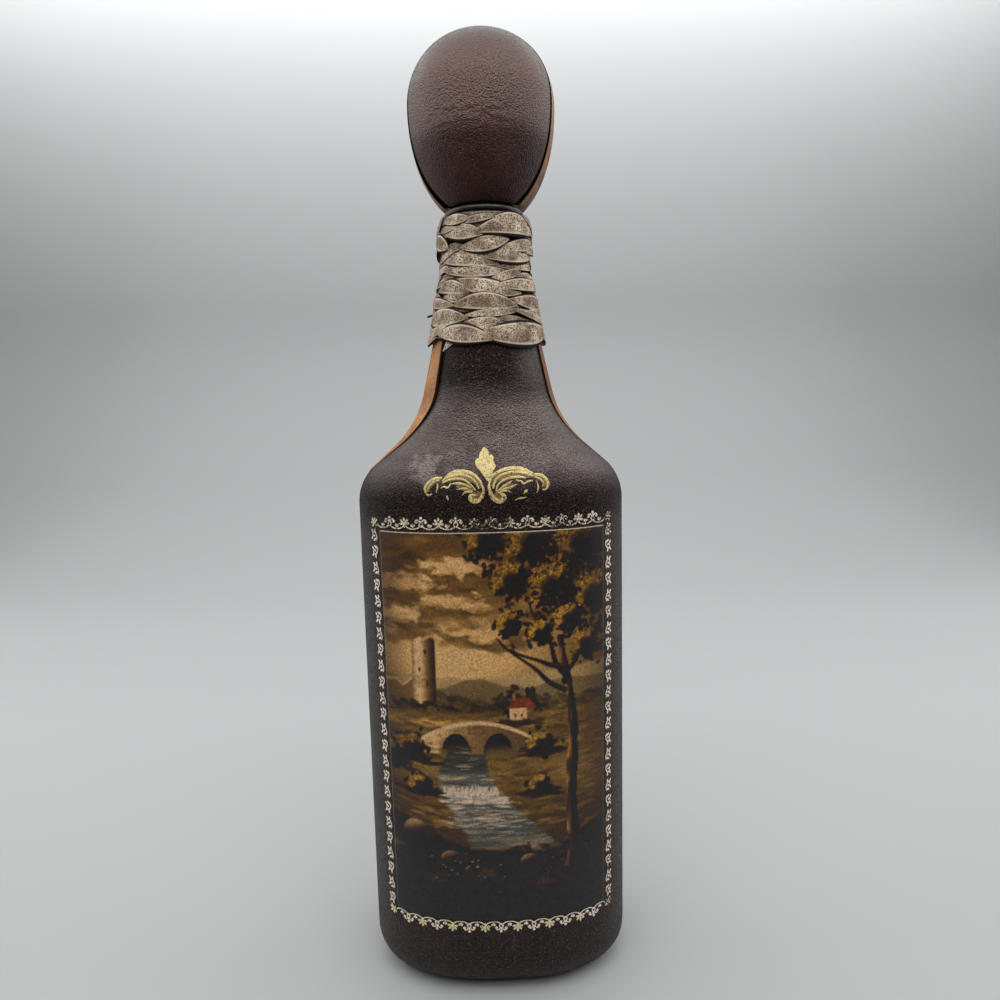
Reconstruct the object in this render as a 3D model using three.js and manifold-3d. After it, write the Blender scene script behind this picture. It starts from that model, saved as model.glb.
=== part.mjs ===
// A leather-wrapped decanter: an oval glass bottle dressed in two dark leather covers and two tan side
// strips, with a plaited leather wrap round its neck and an egg-shaped leather stopper on a cork.
// Millimetres, +Z up, the front faces -Y, and the origin is the middle of the foot.

import * as THREE from 'three';
import { mergeVertices } from 'three/addons/utils/BufferGeometryUtils.js';
import Module from 'manifold-3d';

// Glass bottle
const glassWidth = 87.4;
const glassDepth = 58.6;
const bodySquareness = 2.4; // exponent of the oval section: 2 is an ellipse, more is boxier
const glassWall = 2.4;
const glassFloor = 6;
const heelRadius = 9;
const bodyHeight = 164; // glass foot to the start of the shoulder
const shoulderRadius = 16;
const shoulderSlope = 48; // steepest lean of the shoulder, in degrees from upright
const flareRadius = 36; // hollow curve from the shoulder into the neck
const neckFootRadius = 20.6;
const neckLength = 56.2; // top of the flare to the top of the lip
const straightNeck = 16.3; // upper stretch of the neck that doesn't taper
const boreRadius = 9.2;
const lipDepth = 4;
const lipBulge = 1.4;

// Leather on the bottle
const seamGap = 0.3; // glue line, and the seam between neighbouring pieces
const coverThickness = 1.4;
const stripThickness = 1.1;
const padThickness = 2;
const bodyStripWidth = 12;
const neckStripWidth = 22.6; // at the foot of the neck, from where it narrows with the neck
const neckTwist = 6.5; // degrees that the seams turn round the neck

// Picture on the front cover
const pictureSideMargin = 8; // side of the glass to the edge, seen from the front
const pictureThickness = 0.4;
const pictureFootMargin = 26.4; // glass foot to the lower edge
const pictureTopMargin = 7.2; // upper edge to the start of the shoulder

// Plaited wrap round the neck
const plaitWidth = 7.7;
const plaitThickness = 1.5;
const plaitGap = 0.6; // between one turn and the next
const plaitClimb = 0.25; // share of a turn, at the back, in which it climbs to the next
const plaitFootMargin = 14.7; // top of the flare to the lower edge
const plaitTopMargin = 0.5; // upper edge to the top of the lip

// Stopper
const stopperTurn = -7; // degrees, as it was last pushed in
const corkDepth = 26; // length in the neck
const corkTaper = 0.6; // how much smaller its lower end is, in radius
const corkClearance = 0.3;
const socketDepth = 9; // length glued into the knob
const collarRadius = 13.2;
const collarThickness = 2.6;
const knobWidth = 48.6;
const knobFootRadius = 13.6;
const knobFootDrop = 31.3; // widest girth down to the flat foot
const knobCrownRise = 23.4; // widest girth up to the crown
const knobFullness = 2.14; // exponent of the egg's outline
const knobCoverThickness = 1.4;
const knobBandThickness = 1.1;
const knobBandWidth = 12;

// Facets
const ovalColumns = 36;
const coverColumns = 18;
const stripColumns = 4;
const heelSteps = 4;
const shoulderSteps = 10;
const neckSteps = 3;
const lipSteps = 4;
const pictureColumns = 12;
const plaitSteps = 24; // in one turn
const knobSegments = 32;
const knobSteps = 6; // from the girth to the foot, and to the crown
const roundSegments = 32;

const degree = Math.PI / 180;
const leanStep = 0.01; // height over which a wall's lean is measured
const wasm = await Module();
wasm.setup();

const leather = { dark: 0x2a1a17, tan: 0x9a6438, plait: 0xa89b86 };
const materials = {
  glass: new THREE.MeshStandardMaterial({ color: 0x9fb0a4, roughness: 0.08, metalness: 0 }),
  cover: new THREE.MeshStandardMaterial({ color: leather.dark, roughness: 0.5, metalness: 0 }),
  strip: new THREE.MeshStandardMaterial({ color: leather.tan, roughness: 0.6, metalness: 0 }),
  plait: new THREE.MeshStandardMaterial({ color: leather.plait, roughness: 0.65, metalness: 0 }),
  picture: new THREE.MeshStandardMaterial({ color: 0x4a3a22, roughness: 0.45, metalness: 0 }),
  pad: new THREE.MeshStandardMaterial({ color: 0x1d1412, roughness: 0.8, metalness: 0 }),
  cork: new THREE.MeshStandardMaterial({ color: 0xb08a5c, roughness: 0.9, metalness: 0 }),
  wood: new THREE.MeshStandardMaterial({ color: 0xb58f62, roughness: 0.8, metalness: 0 }),
};

// Solids from meshes, and meshes from solids

function toSolid(geometry) {
  const bare = geometry.clone();
  bare.deleteAttribute('normal');
  bare.deleteAttribute('uv');
  const merged = mergeVertices(bare);
  const vertProperties = new Float32Array(merged.attributes.position.array);
  const triVerts = new Uint32Array(merged.index.array);
  return new wasm.Manifold(new wasm.Mesh({ numProp: 3, vertProperties, triVerts }));
}

function toGeometry(solid) {
  const mesh = solid.getMesh();
  const geometry = new THREE.BufferGeometry();
  geometry.setAttribute('position', new THREE.BufferAttribute(mesh.vertProperties, 3));
  geometry.setIndex(new THREE.BufferAttribute(mesh.triVerts, 1));
  geometry.computeVertexNormals();
  return geometry;
}

function fromTriangles(points, triangles) {
  const geometry = new THREE.BufferGeometry().setFromPoints(points);
  geometry.setIndex(triangles);
  geometry.computeVertexNormals();
  return geometry;
}

// A solid skinned over rings with the same count of points, each end closed by a fan.
function loft(rings) {
  const count = rings[0].length;
  const points = rings.flat();
  const triangles = [];
  for (let i = 0; i + 1 < rings.length; i++) {
    for (let j = 0; j < count; j++) {
      const a = i * count + j;
      const b = i * count + ((j + 1) % count);
      triangles.push(a, b, b + count, a, b + count, a + count);
    }
  }
  const addFan = (ring, offset, flip) => {
    const centre = ring.reduce((sum, p) => sum.add(p), new THREE.Vector3()).divideScalar(count);
    const apex = points.push(centre) - 1;
    for (let j = 0; j < count; j++) {
      const [a, b] = [offset + j, offset + ((j + 1) % count)];
      triangles.push(...(flip ? [b, a, apex] : [a, b, apex]));
    }
  };
  addFan(rings[0], 0, true);
  addFan(rings.at(-1), (rings.length - 1) * count, false);
  return fromTriangles(points, triangles);
}

// A plate between two matching grids of points, closed round its four edges.
function plate(innerGrid, outerGrid) {
  const rows = outerGrid.length;
  const columns = outerGrid[0].length;
  const points = [...outerGrid.flat(), ...innerGrid.flat()];
  const inner = rows * columns;
  const at = (i, j) => i * columns + j;
  const triangles = [];
  for (let i = 0; i + 1 < rows; i++) {
    for (let j = 0; j + 1 < columns; j++) {
      const [a, b, c, d] = [at(i, j), at(i, j + 1), at(i + 1, j + 1), at(i + 1, j)];
      triangles.push(a, b, c, a, c, d);
      triangles.push(inner + c, inner + b, inner + a, inner + d, inner + c, inner + a);
    }
  }
  const rim = [];
  for (let j = 0; j + 1 < columns; j++) rim.push(at(0, j));
  for (let i = 0; i + 1 < rows; i++) rim.push(at(i, columns - 1));
  for (let j = columns - 1; j > 0; j--) rim.push(at(rows - 1, j));
  for (let i = rows - 1; i > 0; i--) rim.push(at(i, 0));
  rim.forEach((a, k) => {
    const b = rim[(k + 1) % rim.length];
    triangles.push(b, a, inner + a, b, inner + a, inner + b);
  });
  return fromTriangles(points, triangles);
}

// A solid of revolution about Z from a profile of [radius, height] points.
function revolve(profile, segments) {
  const geometry = new THREE.LatheGeometry(
    profile.map(([radius, height]) => new THREE.Vector2(Math.max(radius, 0), height)),
    segments,
  );
  return geometry.rotateX(Math.PI / 2);
}

// The bottle's form. Heights are above the glass foot, and an offset is outwards from the glass.

const neckTopRadius = boreRadius + glassWall;
const smooth = (share) => share * share * (3 - 2 * share);
const clamp = (value) => Math.min(1, Math.max(0, value));

// From the body's half-width to the neck's foot: a round shoulder, a straight slope and a hollow flare that
// ends at the neck's own lean.
const neckLean = Math.atan((neckFootRadius - neckTopRadius) / (neckLength - straightNeck));
const slope = shoulderSlope * degree;
const roundStep = shoulderRadius * (1 - Math.cos(slope));
const flareStep = flareRadius * (Math.cos(neckLean) - Math.cos(slope));
const slopeStep = glassWidth / 2 - neckFootRadius - roundStep - flareStep;
const roundTop = bodyHeight + shoulderRadius * Math.sin(slope);
const flareFoot = roundTop + slopeStep / Math.tan(slope);
const neckFootHeight = flareFoot + flareRadius * (Math.sin(slope) - Math.sin(neckLean));
const taperTop = neckFootHeight + neckLength - straightNeck;
const bottleHeight = neckFootHeight + neckLength;
const lipFootHeight = bottleHeight - lipDepth;

function neckRadiusAt(height) {
  const share = clamp((height - neckFootHeight) / (taperTop - neckFootHeight));
  return neckFootRadius + (neckTopRadius - neckFootRadius) * share;
}

function halfWidthAt(height) {
  const up = height - bodyHeight;
  if (up <= 0) return glassWidth / 2;
  if (height < roundTop) return glassWidth / 2 - shoulderRadius + Math.sqrt(shoulderRadius ** 2 - up ** 2);
  if (height < flareFoot) return glassWidth / 2 - roundStep - (height - roundTop) * Math.tan(slope);
  if (height > neckFootHeight) return neckRadiusAt(height);
  const below = neckFootHeight + flareRadius * Math.sin(neckLean) - height;
  return neckFootRadius + flareRadius * Math.cos(neckLean) - Math.sqrt(flareRadius ** 2 - below ** 2);
}

// The depth draws in over the same height as the width.
function halfDepthAt(height) {
  const neck = neckRadiusAt(height);
  const share = (glassDepth / 2 - neckFootRadius) / (glassWidth / 2 - neckFootRadius);
  return neck + (halfWidthAt(height) - neck) * share;
}

// A half-size moved out sideways so that the offset is true square to a leaning wall.
function movedOut(halfSizeAt, height, offset) {
  const lean = halfSizeAt(height + leanStep / 2) - halfSizeAt(height - leanStep / 2);
  return halfSizeAt(height) + offset * Math.hypot(1, lean / leanStep);
}

// The oval section at a height: half-width a, half-depth b and squareness n.
function sectionAt(height, offset) {
  const share = clamp((height - bodyHeight) / (neckFootHeight - bodyHeight));
  return {
    z: height,
    a: movedOut(halfWidthAt, height, offset),
    b: movedOut(halfDepthAt, height, offset),
    n: bodySquareness + (2 - bodySquareness) * smooth(share),
  };
}

// The section on the rounded heel, at an angle from under the foot (0) to upright (a right angle).
function heelSection(angle, offset, lift) {
  const inset = (heelRadius + offset) * Math.sin(angle) - heelRadius;
  return {
    z: heelRadius - (heelRadius + offset) * Math.cos(angle) + lift,
    a: glassWidth / 2 + inset,
    b: glassDepth / 2 + inset,
    n: bodySquareness,
  };
}

const spread = (from, to, steps) =>
  Array.from({ length: steps + 1 }, (_, i) => from + ((to - from) * i) / steps);

// Sections from under the heel up to a height, in the same order at every offset.
function bottleSections(topHeight, offset, lift = 0) {
  const heel = spread(0, Math.PI / 2, heelSteps).map((angle) => heelSection(angle, offset, lift));
  const wall = [
    ...spread(bodyHeight, neckFootHeight, shoulderSteps).slice(0, -1),
    ...spread(neckFootHeight, taperTop, neckSteps),
    topHeight,
  ];
  return [...heel, ...wall.map((height) => sectionAt(height, offset))];
}

const signedPower = (value, power) => Math.sign(value) * Math.abs(value) ** power;

function ovalPoint({ z, a, b, n }, angle) {
  const x = a * signedPower(Math.cos(angle), 2 / n);
  const y = b * signedPower(Math.sin(angle), 2 / n);
  return new THREE.Vector3(x, y, z);
}

const ovalRing = (section, columns) =>
  spread(0, 2 * Math.PI, columns).slice(0, -1).map((angle) => ovalPoint(section, angle));

// The angle on an oval section where it is y deep, or x wide.
const angleAtDepth = ({ b, n }, y) => Math.asin((y / b) ** (n / 2));
const angleAtWidth = ({ a, n }, x) => Math.acos((x / a) ** (n / 2));

// Glass bottle, with a rounded lip and its hollow open through the bore

function glassBottle() {
  const lip = spread(-Math.PI / 2, Math.PI / 2, lipSteps).map((angle) => {
    const radius = neckTopRadius + lipBulge * Math.cos(angle);
    const z = lipFootHeight + (lipDepth / 2) * (1 + Math.sin(angle));
    return { z, a: radius, b: radius, n: 2 };
  });
  const outside = [...bottleSections(lipFootHeight, 0).slice(0, -1), ...lip];
  const hollow = bottleSections(bottleHeight + lipDepth, -glassWall, glassFloor - glassWall);
  const solid = toSolid(loft(outside.map((section) => ovalRing(section, ovalColumns))));
  return toGeometry(solid.subtract(toSolid(loft(hollow.map((section) => ovalRing(section, ovalColumns))))));
}

// Leather covers and side strips, cut from one wrap along seams at the two sides

const coverTop = lipFootHeight - seamGap;
const stripHalfAt = (height) => {
  const share = smooth(clamp((height - bodyHeight) / (neckFootHeight - bodyHeight)));
  const half = bodyStripWidth / 2 + ((neckStripWidth - bodyStripWidth) / 2) * share;
  return (half * neckRadiusAt(height)) / neckFootRadius;
};
const twistAt = (height) =>
  neckTwist * degree * smooth(clamp((height - bodyHeight) / (neckFootHeight - bodyHeight)));

// A piece of the wrap between two seams. A seam is a side of the bottle, 0 or 1 half-turns round from +X,
// and a direction: 1 where the piece lies ahead of the strip's edge and -1 where it lies behind it.
function wrapPiece(fromSeam, toSeam, thickness, columns) {
  const glass = bottleSections(coverTop, 0);
  const edgeAngle = (section, { side, ahead, inset }) => {
    const depth = stripHalfAt(section.z) + inset * (seamGap / 2);
    return side * Math.PI + ahead * angleAtDepth(section, depth) + twistAt(section.z);
  };
  const gridAt = (offset) =>
    bottleSections(coverTop, offset).map((section, i) => {
      const from = edgeAngle(glass[i], fromSeam);
      const to = edgeAngle(glass[i], toSeam);
      return spread(from, to, columns).map((angle) => ovalPoint(section, angle));
    });
  return plate(gridAt(seamGap), gridAt(seamGap + thickness));
}

const coverFrom = (side) => ({ side, ahead: 1, inset: 1 });
const coverTo = (side) => ({ side, ahead: -1, inset: 1 });
const stripFrom = (side) => ({ side, ahead: -1, inset: -1 });
const stripTo = (side) => ({ side, ahead: 1, inset: -1 });

const backCover = () => wrapPiece(coverFrom(0), coverTo(1), coverThickness, coverColumns);
const frontCover = () => wrapPiece(coverFrom(1), coverTo(2), coverThickness, coverColumns);
const rightStrip = () => wrapPiece(stripFrom(0), stripTo(0), stripThickness, stripColumns);
const leftStrip = () => wrapPiece(stripFrom(1), stripTo(1), stripThickness, stripColumns);

// The pad fills the flat of the foot, inside the turned-under covers, and stands a little below them.
function basePad() {
  const foot = heelSection(0, 0, 0);
  const outline = { a: foot.a - seamGap, b: foot.b - seamGap, n: foot.n };
  const heights = [-seamGap - padThickness, -seamGap];
  return loft(heights.map((z) => ovalRing({ ...outline, z }, ovalColumns)));
}

// The picture is a thin sheet that follows the front cover.
function picturePanel() {
  const heights = [pictureFootMargin, bodyHeight - pictureTopMargin];
  const gridAt = (offset) =>
    heights.map((height) => {
      const section = sectionAt(height, offset);
      const edge = angleAtWidth(section, glassWidth / 2 - pictureSideMargin);
      return spread(-Math.PI + edge, -edge, pictureColumns).map((angle) => ovalPoint(section, angle));
    });
  const back = seamGap + coverThickness + seamGap;
  return plate(gridAt(back), gridAt(back + pictureThickness));
}

// Plaited wrap: one flat band wound round the neck, level at the front and sides and climbing at the back,
// with as many turns as its margins leave room for

const plaitPitch = plaitWidth + plaitGap;
const plaitRoom = neckLength - plaitFootMargin - plaitTopMargin - plaitWidth;
const plaitTurns = Math.floor(plaitRoom / plaitPitch) + 1;

// The band's section as [up, out] points, thickest along its middle.
const plaitSection = [
  [-1 / 2, 1 / 2],
  [-1 / 3, 0],
  [1 / 3, 0],
  [1 / 2, 1 / 2],
  [1 / 3, 1],
  [-1 / 3, 1],
].map(([up, out]) => [up * plaitWidth, out * plaitThickness]);

// The radius that the band lies on: over the covers, and clear of the lip.
function plaitSeatAt(height) {
  const covers = neckRadiusAt(height) + seamGap + coverThickness;
  return Math.max(covers, neckTopRadius + lipBulge) + seamGap;
}

function plaitRings() {
  const level = 1 - plaitClimb;
  const firstHeight = neckFootHeight + plaitFootMargin + plaitWidth / 2;
  const firstAngle = -Math.PI / 2 - level * Math.PI;
  const length = plaitTurns - plaitClimb;
  return spread(0, length, Math.ceil(length * plaitSteps)).map((turn) => {
    const climbed = Math.floor(turn) + smooth(clamp(((turn % 1) - level) / plaitClimb));
    const angle = firstAngle + 2 * Math.PI * turn;
    return plaitSection.map(([up, out]) => {
      const height = firstHeight + climbed * plaitPitch + up;
      const radius = plaitSeatAt(height) + out;
      return new THREE.Vector3(radius * Math.cos(angle), radius * Math.sin(angle), height);
    });
  });
}

// The least distance between points of the band that lie more than half a turn apart along it.
function leastGap(rings) {
  let least = Infinity;
  for (let i = 0; i < rings.length; i++) {
    for (let k = i + plaitSteps / 2; k < rings.length; k++) {
      for (const p of rings[i]) {
        for (const q of rings[k]) least = Math.min(least, p.distanceTo(q));
      }
    }
  }
  return least;
}

function neckPlait() {
  const rings = plaitRings();
  console.log(`plait: ${plaitTurns} turns, least gap ${leastGap(rings).toFixed(2)} mm`);
  return loft(rings);
}

// Stopper. Heights are above the seat, where its collar meets the lip.

const corkRadius = boreRadius - corkClearance;
const knobFootHeight = collarThickness + seamGap;
const knobGirthHeight = knobFootHeight + knobFootDrop;
const socketTop = knobFootHeight + socketDepth;

// The egg's outline from its flat foot to its crown, as [radius, height] points.
function knobOutline(offset) {
  const girth = knobWidth / 2 + offset;
  const footShare = ((knobFootRadius + offset) / girth) ** (knobFullness / 2);
  const footAngle = -Math.acos(footShare);
  const lowerHalf = knobFootDrop / Math.sin(-footAngle) ** (2 / knobFullness);
  const upperHalf = knobCrownRise + offset;
  const pointAt = (half, angle) => [
    girth * signedPower(Math.cos(angle), 2 / knobFullness),
    knobGirthHeight + half * signedPower(Math.sin(angle), 2 / knobFullness),
  ];
  return [
    ...spread(footAngle, 0, knobSteps).map((angle) => pointAt(lowerHalf, angle)),
    ...spread(0, Math.PI / 2, knobSteps).slice(1).map((angle) => pointAt(upperHalf, angle)),
  ];
}

// The turned wooden egg inside, with a socket for the cork.
function knobCore() {
  const outline = knobOutline(-knobCoverThickness - seamGap);
  const socketRadius = corkRadius + seamGap;
  const socket = [
    [0, socketTop + seamGap],
    [socketRadius, socketTop + seamGap],
    [socketRadius, knobFootHeight],
  ];
  return revolve([...socket, ...outline], knobSegments);
}

// A leather skin over the core, open at the foot.
function knobSkin(thickness) {
  const inner = knobOutline(-knobCoverThickness).reverse();
  const outer = knobOutline(-knobCoverThickness + thickness);
  return toSolid(revolve([...inner, ...outer], knobSegments));
}

// The space behind the band, from its edge moved outwards by an inset.
function behindBand(inset) {
  const edge = knobBandWidth / 2 + inset;
  const block = new THREE.BoxGeometry(2 * knobWidth, knobWidth, 2 * knobWidth);
  block.translate(0, edge + knobWidth / 2, knobGirthHeight);
  return toSolid(block);
}

const knobBackCover = () =>
  toGeometry(knobSkin(knobCoverThickness).intersect(behindBand(seamGap / 2)));

function knobBand() {
  const cover = behindBand(-seamGap / 2);
  const turned = cover.rotate([0, 0, 180]);
  return toGeometry(knobSkin(knobBandThickness).subtract(cover).subtract(turned));
}

// The dark collar between the knob and the lip, with a rounded edge and a hole for the cork.
function stopperCollar() {
  const holeRadius = corkRadius + seamGap;
  const edge = spread(-Math.PI / 2, Math.PI / 2, lipSteps).map((angle) => [
    collarRadius + (collarThickness / 2) * (Math.cos(angle) - 1),
    (collarThickness / 2) * (1 + Math.sin(angle)),
  ]);
  return revolve([[holeRadius, 0], ...edge, [holeRadius, collarThickness], [holeRadius, 0]], roundSegments);
}

function corkPlug() {
  const profile = [
    [0, -corkDepth],
    [corkRadius - corkTaper, -corkDepth],
    [corkRadius, 0],
    [corkRadius, socketTop],
    [0, socketTop],
  ];
  return revolve(profile, roundSegments);
}

// Assembly

function addMesh(group, name, geometry, material) {
  const mesh = new THREE.Mesh(geometry, material);
  mesh.name = name;
  group.add(mesh);
  return mesh;
}

const decanter = new THREE.Group();

const bottle = new THREE.Group();
bottle.position.z = padThickness + seamGap;
decanter.add(bottle);
addMesh(bottle, 'glass_bottle', glassBottle(), materials.glass);
addMesh(bottle, 'base_pad', basePad(), materials.pad);
addMesh(bottle, 'front_cover', frontCover(), materials.cover);
addMesh(bottle, 'back_cover', backCover(), materials.cover);
addMesh(bottle, 'left_side_strip', leftStrip(), materials.strip);
addMesh(bottle, 'right_side_strip', rightStrip(), materials.strip);
addMesh(bottle, 'picture_panel', picturePanel(), materials.picture);
addMesh(bottle, 'neck_plait', neckPlait(), materials.plait);

const stopper = new THREE.Group();
stopper.position.z = bottleHeight + seamGap;
stopper.rotation.z = stopperTurn * degree;
bottle.add(stopper);
addMesh(stopper, 'cork_plug', corkPlug(), materials.cork);
addMesh(stopper, 'stopper_collar', stopperCollar(), materials.cover);
addMesh(stopper, 'knob_core', knobCore(), materials.wood);
addMesh(stopper, 'knob_back_cover', knobBackCover(), materials.cover);
const knobFront = addMesh(stopper, 'knob_front_cover', knobBackCover(), materials.cover);
knobFront.rotation.z = Math.PI;
addMesh(stopper, 'knob_band', knobBand(), materials.strip);

export default decanter;
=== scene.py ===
import math
from itertools import product

import bpy
import numpy as np
from mathutils import Matrix, Vector


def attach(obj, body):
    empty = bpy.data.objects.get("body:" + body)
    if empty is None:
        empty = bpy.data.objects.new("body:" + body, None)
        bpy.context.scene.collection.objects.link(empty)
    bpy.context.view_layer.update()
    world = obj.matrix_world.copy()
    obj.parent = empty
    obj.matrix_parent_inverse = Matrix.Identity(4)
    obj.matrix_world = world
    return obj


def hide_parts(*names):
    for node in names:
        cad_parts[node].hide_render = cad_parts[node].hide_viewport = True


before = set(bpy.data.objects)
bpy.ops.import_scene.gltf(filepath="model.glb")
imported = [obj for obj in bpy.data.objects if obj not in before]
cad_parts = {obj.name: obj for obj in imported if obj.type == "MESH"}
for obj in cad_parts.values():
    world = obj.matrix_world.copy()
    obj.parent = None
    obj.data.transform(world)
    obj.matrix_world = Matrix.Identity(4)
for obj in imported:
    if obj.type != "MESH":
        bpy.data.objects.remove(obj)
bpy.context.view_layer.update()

mm = 0.001


def hexShares(text):
    return np.array([int(text[i:i + 2], 16) / 255 for i in (1, 3, 5)])


def toLinear(shares):
    return np.where(shares <= 0.04045, shares / 12.92, ((shares + 0.055) / 1.055) ** 2.4)


def srgb(text):
    return (*toLinear(hexShares(text)).tolist(), 1.0)


# Adds a node: values are socket values or the sockets to link from, settings are the node's own properties.
def addNode(tree, kind, values=None, settings=None):
    node = tree.nodes.new(kind)
    for key, value in (settings or {}).items():
        setattr(node, key, value)
    for key, value in (values or {}).items():
        if isinstance(value, bpy.types.NodeSocket):
            tree.links.new(value, node.inputs[key])
        else:
            node.inputs[key].default_value = value
    return node


def newMaterial(name):
    material = bpy.data.materials.new(name)
    material.use_nodes = True
    material.node_tree.nodes.clear()
    return material, material.node_tree


def newTree(name, inputs):
    tree = bpy.data.node_groups.new(name, "GeometryNodeTree")
    tree.interface.new_socket("Geometry", in_out="INPUT", socket_type="NodeSocketGeometry")
    for label, kind in inputs.items():
        tree.interface.new_socket(label, in_out="INPUT", socket_type=kind)
    tree.interface.new_socket("Geometry", in_out="OUTPUT", socket_type="NodeSocketGeometry")
    return tree, addNode(tree, "NodeGroupInput").outputs


# Runs a Geometry Nodes tree on a mesh and returns the plain mesh that comes out.
def runTree(tree, mesh, inputs):
    source = bpy.data.objects.new(mesh.name, mesh)
    bpy.context.scene.collection.objects.link(source)
    modifier = source.modifiers.new("nodes", "NODES")
    modifier.node_group = tree
    sockets = {item.name: item.identifier for item in tree.interface.items_tree if item.in_out == "INPUT"}
    for label, value in inputs.items():
        modifier[sockets[label]] = value
    bpy.context.view_layer.update()
    depsgraph = bpy.context.evaluated_depsgraph_get()
    made = bpy.data.meshes.new_from_object(source.evaluated_get(depsgraph), depsgraph=depsgraph)
    source.modifiers.remove(modifier)
    bpy.data.objects.remove(source)
    return made


# A smooth mesh from points in millimetres.
def meshFrom(name, points, faces, edges=()):
    mesh = bpy.data.meshes.new(name)
    metres = (np.asarray(points).reshape(-1, 3) * mm).tolist()
    mesh.from_pydata(metres, list(edges), [list(face) for face in faces])
    mesh.shade_smooth()
    return mesh


def gridFaces(rows, columns, closed=False):
    row = np.arange(rows - 1)[:, None] * columns
    column = np.arange(columns if closed else columns - 1)[None]
    after = (column + 1) % columns
    corners = [row + column, row + after, row + columns + after, row + columns + column]
    return np.stack(corners, -1).reshape(-1, 4).tolist()


def addValues(mesh, name, values):
    attribute = mesh.attributes.new(name, "FLOAT", "POINT")
    attribute.data.foreach_set("value", np.asarray(values, np.float32).ravel())


def pointsOf(mesh):
    flat = np.zeros(len(mesh.vertices) * 3, np.float32)
    mesh.vertices.foreach_get("co", flat)
    return flat.reshape(-1, 3).astype(float)


def placePiece(part, mesh, material):
    obj = bpy.data.objects.new(part["name"], mesh)
    bpy.context.scene.collection.objects.link(obj)
    mesh.materials.clear()
    mesh.materials.append(material)
    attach(obj, part["body"])
    if part.get("nodes"):
        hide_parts(*part["nodes"])
    return obj


def smoothBetween(value, low, high):
    share = np.clip((value - low) / (high - low), 0, 1)
    return share * share * (3 - 2 * share)


# Smooth seeded noise between -1 and 1, with lumps of the given size, which repeats after 32 lumps.
latticeSide = 32
lattice = np.random.default_rng(41).uniform(-1, 1, (latticeSide,) * 3)


def softNoise(points, size):
    scaled = np.asarray(points) / size
    cell = np.floor(scaled).astype(int)
    part = scaled - cell
    part = part * part * (3 - 2 * part)
    total = 0
    for corner in product((0, 1), repeat=3):
        weight = np.prod(np.where(corner, part, 1 - part), axis=-1)
        i, j, k = np.moveaxis((cell + corner) % latticeSide, -1, 0)
        total = total + weight * lattice[i, j, k]
    return total


# The raised half of the noise, as patches.
def softPatches(points, size):
    return np.clip(softNoise(points, size), 0, 1)


# Distances along a line from its first point.
def runAlong(points):
    return np.concatenate([[0], np.cumsum(np.linalg.norm(np.diff(points, axis=0), axis=1))])


# Shares from 0 to 1 that crowd towards both ends.
def crowded(count, crowding):
    even = np.linspace(0, 1, count)
    return (1 - crowding) * even + crowding * (1 - np.cos(math.pi * even)) / 2


def aroundAxis(radius, angle, height):
    return np.stack(np.broadcast_arrays(radius * np.cos(angle), radius * np.sin(angle), height), -1)


def unit(vectors):
    return vectors / np.linalg.norm(vectors, axis=-1, keepdims=True)


# A section of leather rounds over at its cut edge: share of the full thickness at a distance from the edge.
def roundEdge(distance, radius):
    return np.sqrt(1 - (1 - np.clip(distance / radius, 0, 1)) ** 2)


# The bottle's form in millimetres. Heights are above the glass foot, and the front faces -Y.
bottle = {
    "lift": 2.3,
    "halfWidth": 43.7,
    "halfDepth": 29.3,
    "squareness": 2.4,
    "heel": 9.0,
    "bodyTop": 164.0,
    "shoulder": 16.0,
    "slope": math.radians(48),
    "flare": 36.0,
    "neckFoot": 20.6,
    "neckTop": 11.6,
    "taper": 39.9,
    "neckLength": 56.2,
    "bore": 9.2,
    "glassFloor": 6.0,
    "lip": 4.0,
    "lipBulge": 1.4,
    "lipGap": 0.3,  # between the covers and the lip
    "glueLine": 0.3,
    "cover": 1.4,
}
neckLean = math.atan((bottle["neckFoot"] - bottle["neckTop"]) / bottle["taper"])
roundStep = bottle["shoulder"] * (1 - math.cos(bottle["slope"]))
flareStep = bottle["flare"] * (math.cos(neckLean) - math.cos(bottle["slope"]))
slopeStep = bottle["halfWidth"] - bottle["neckFoot"] - roundStep - flareStep
roundTop = bottle["bodyTop"] + bottle["shoulder"] * math.sin(bottle["slope"])
flareFoot = roundTop + slopeStep / math.tan(bottle["slope"])
neckFootHeight = flareFoot + bottle["flare"] * (math.sin(bottle["slope"]) - math.sin(neckLean))
bottleHeight = neckFootHeight + bottle["neckLength"]
coverTop = bottleHeight - bottle["lip"] - bottle["lipGap"]
coverFace = bottle["glueLine"] + bottle["cover"]
upwards = np.array([0, 0, bottle["lift"]])


def neckRadiusAt(height):
    share = np.clip((height - neckFootHeight) / bottle["taper"], 0, 1)
    return bottle["neckFoot"] + (bottle["neckTop"] - bottle["neckFoot"]) * share


def halfWidthAt(height):
    height = np.asarray(height, float)
    up = height - bottle["bodyTop"]
    below = neckFootHeight + bottle["flare"] * math.sin(neckLean) - height
    bulge = np.sqrt(np.maximum(bottle["shoulder"] ** 2 - up ** 2, 0))
    rounded = bottle["halfWidth"] - bottle["shoulder"] + bulge
    sloped = bottle["halfWidth"] - roundStep - (height - roundTop) * math.tan(bottle["slope"])
    hollow = np.sqrt(np.maximum(bottle["flare"] ** 2 - below ** 2, 0))
    flared = bottle["neckFoot"] + bottle["flare"] * math.cos(neckLean) - hollow
    straight = np.full_like(height, bottle["halfWidth"])
    cases = [up <= 0, height < roundTop, height < flareFoot, height <= neckFootHeight]
    return np.select(cases, [straight, rounded, sloped, flared], neckRadiusAt(height))


def halfDepthAt(height):
    neck = neckRadiusAt(height)
    share = (bottle["halfDepth"] - bottle["neckFoot"]) / (bottle["halfWidth"] - bottle["neckFoot"])
    return neck + (halfWidthAt(height) - neck) * share


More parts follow.
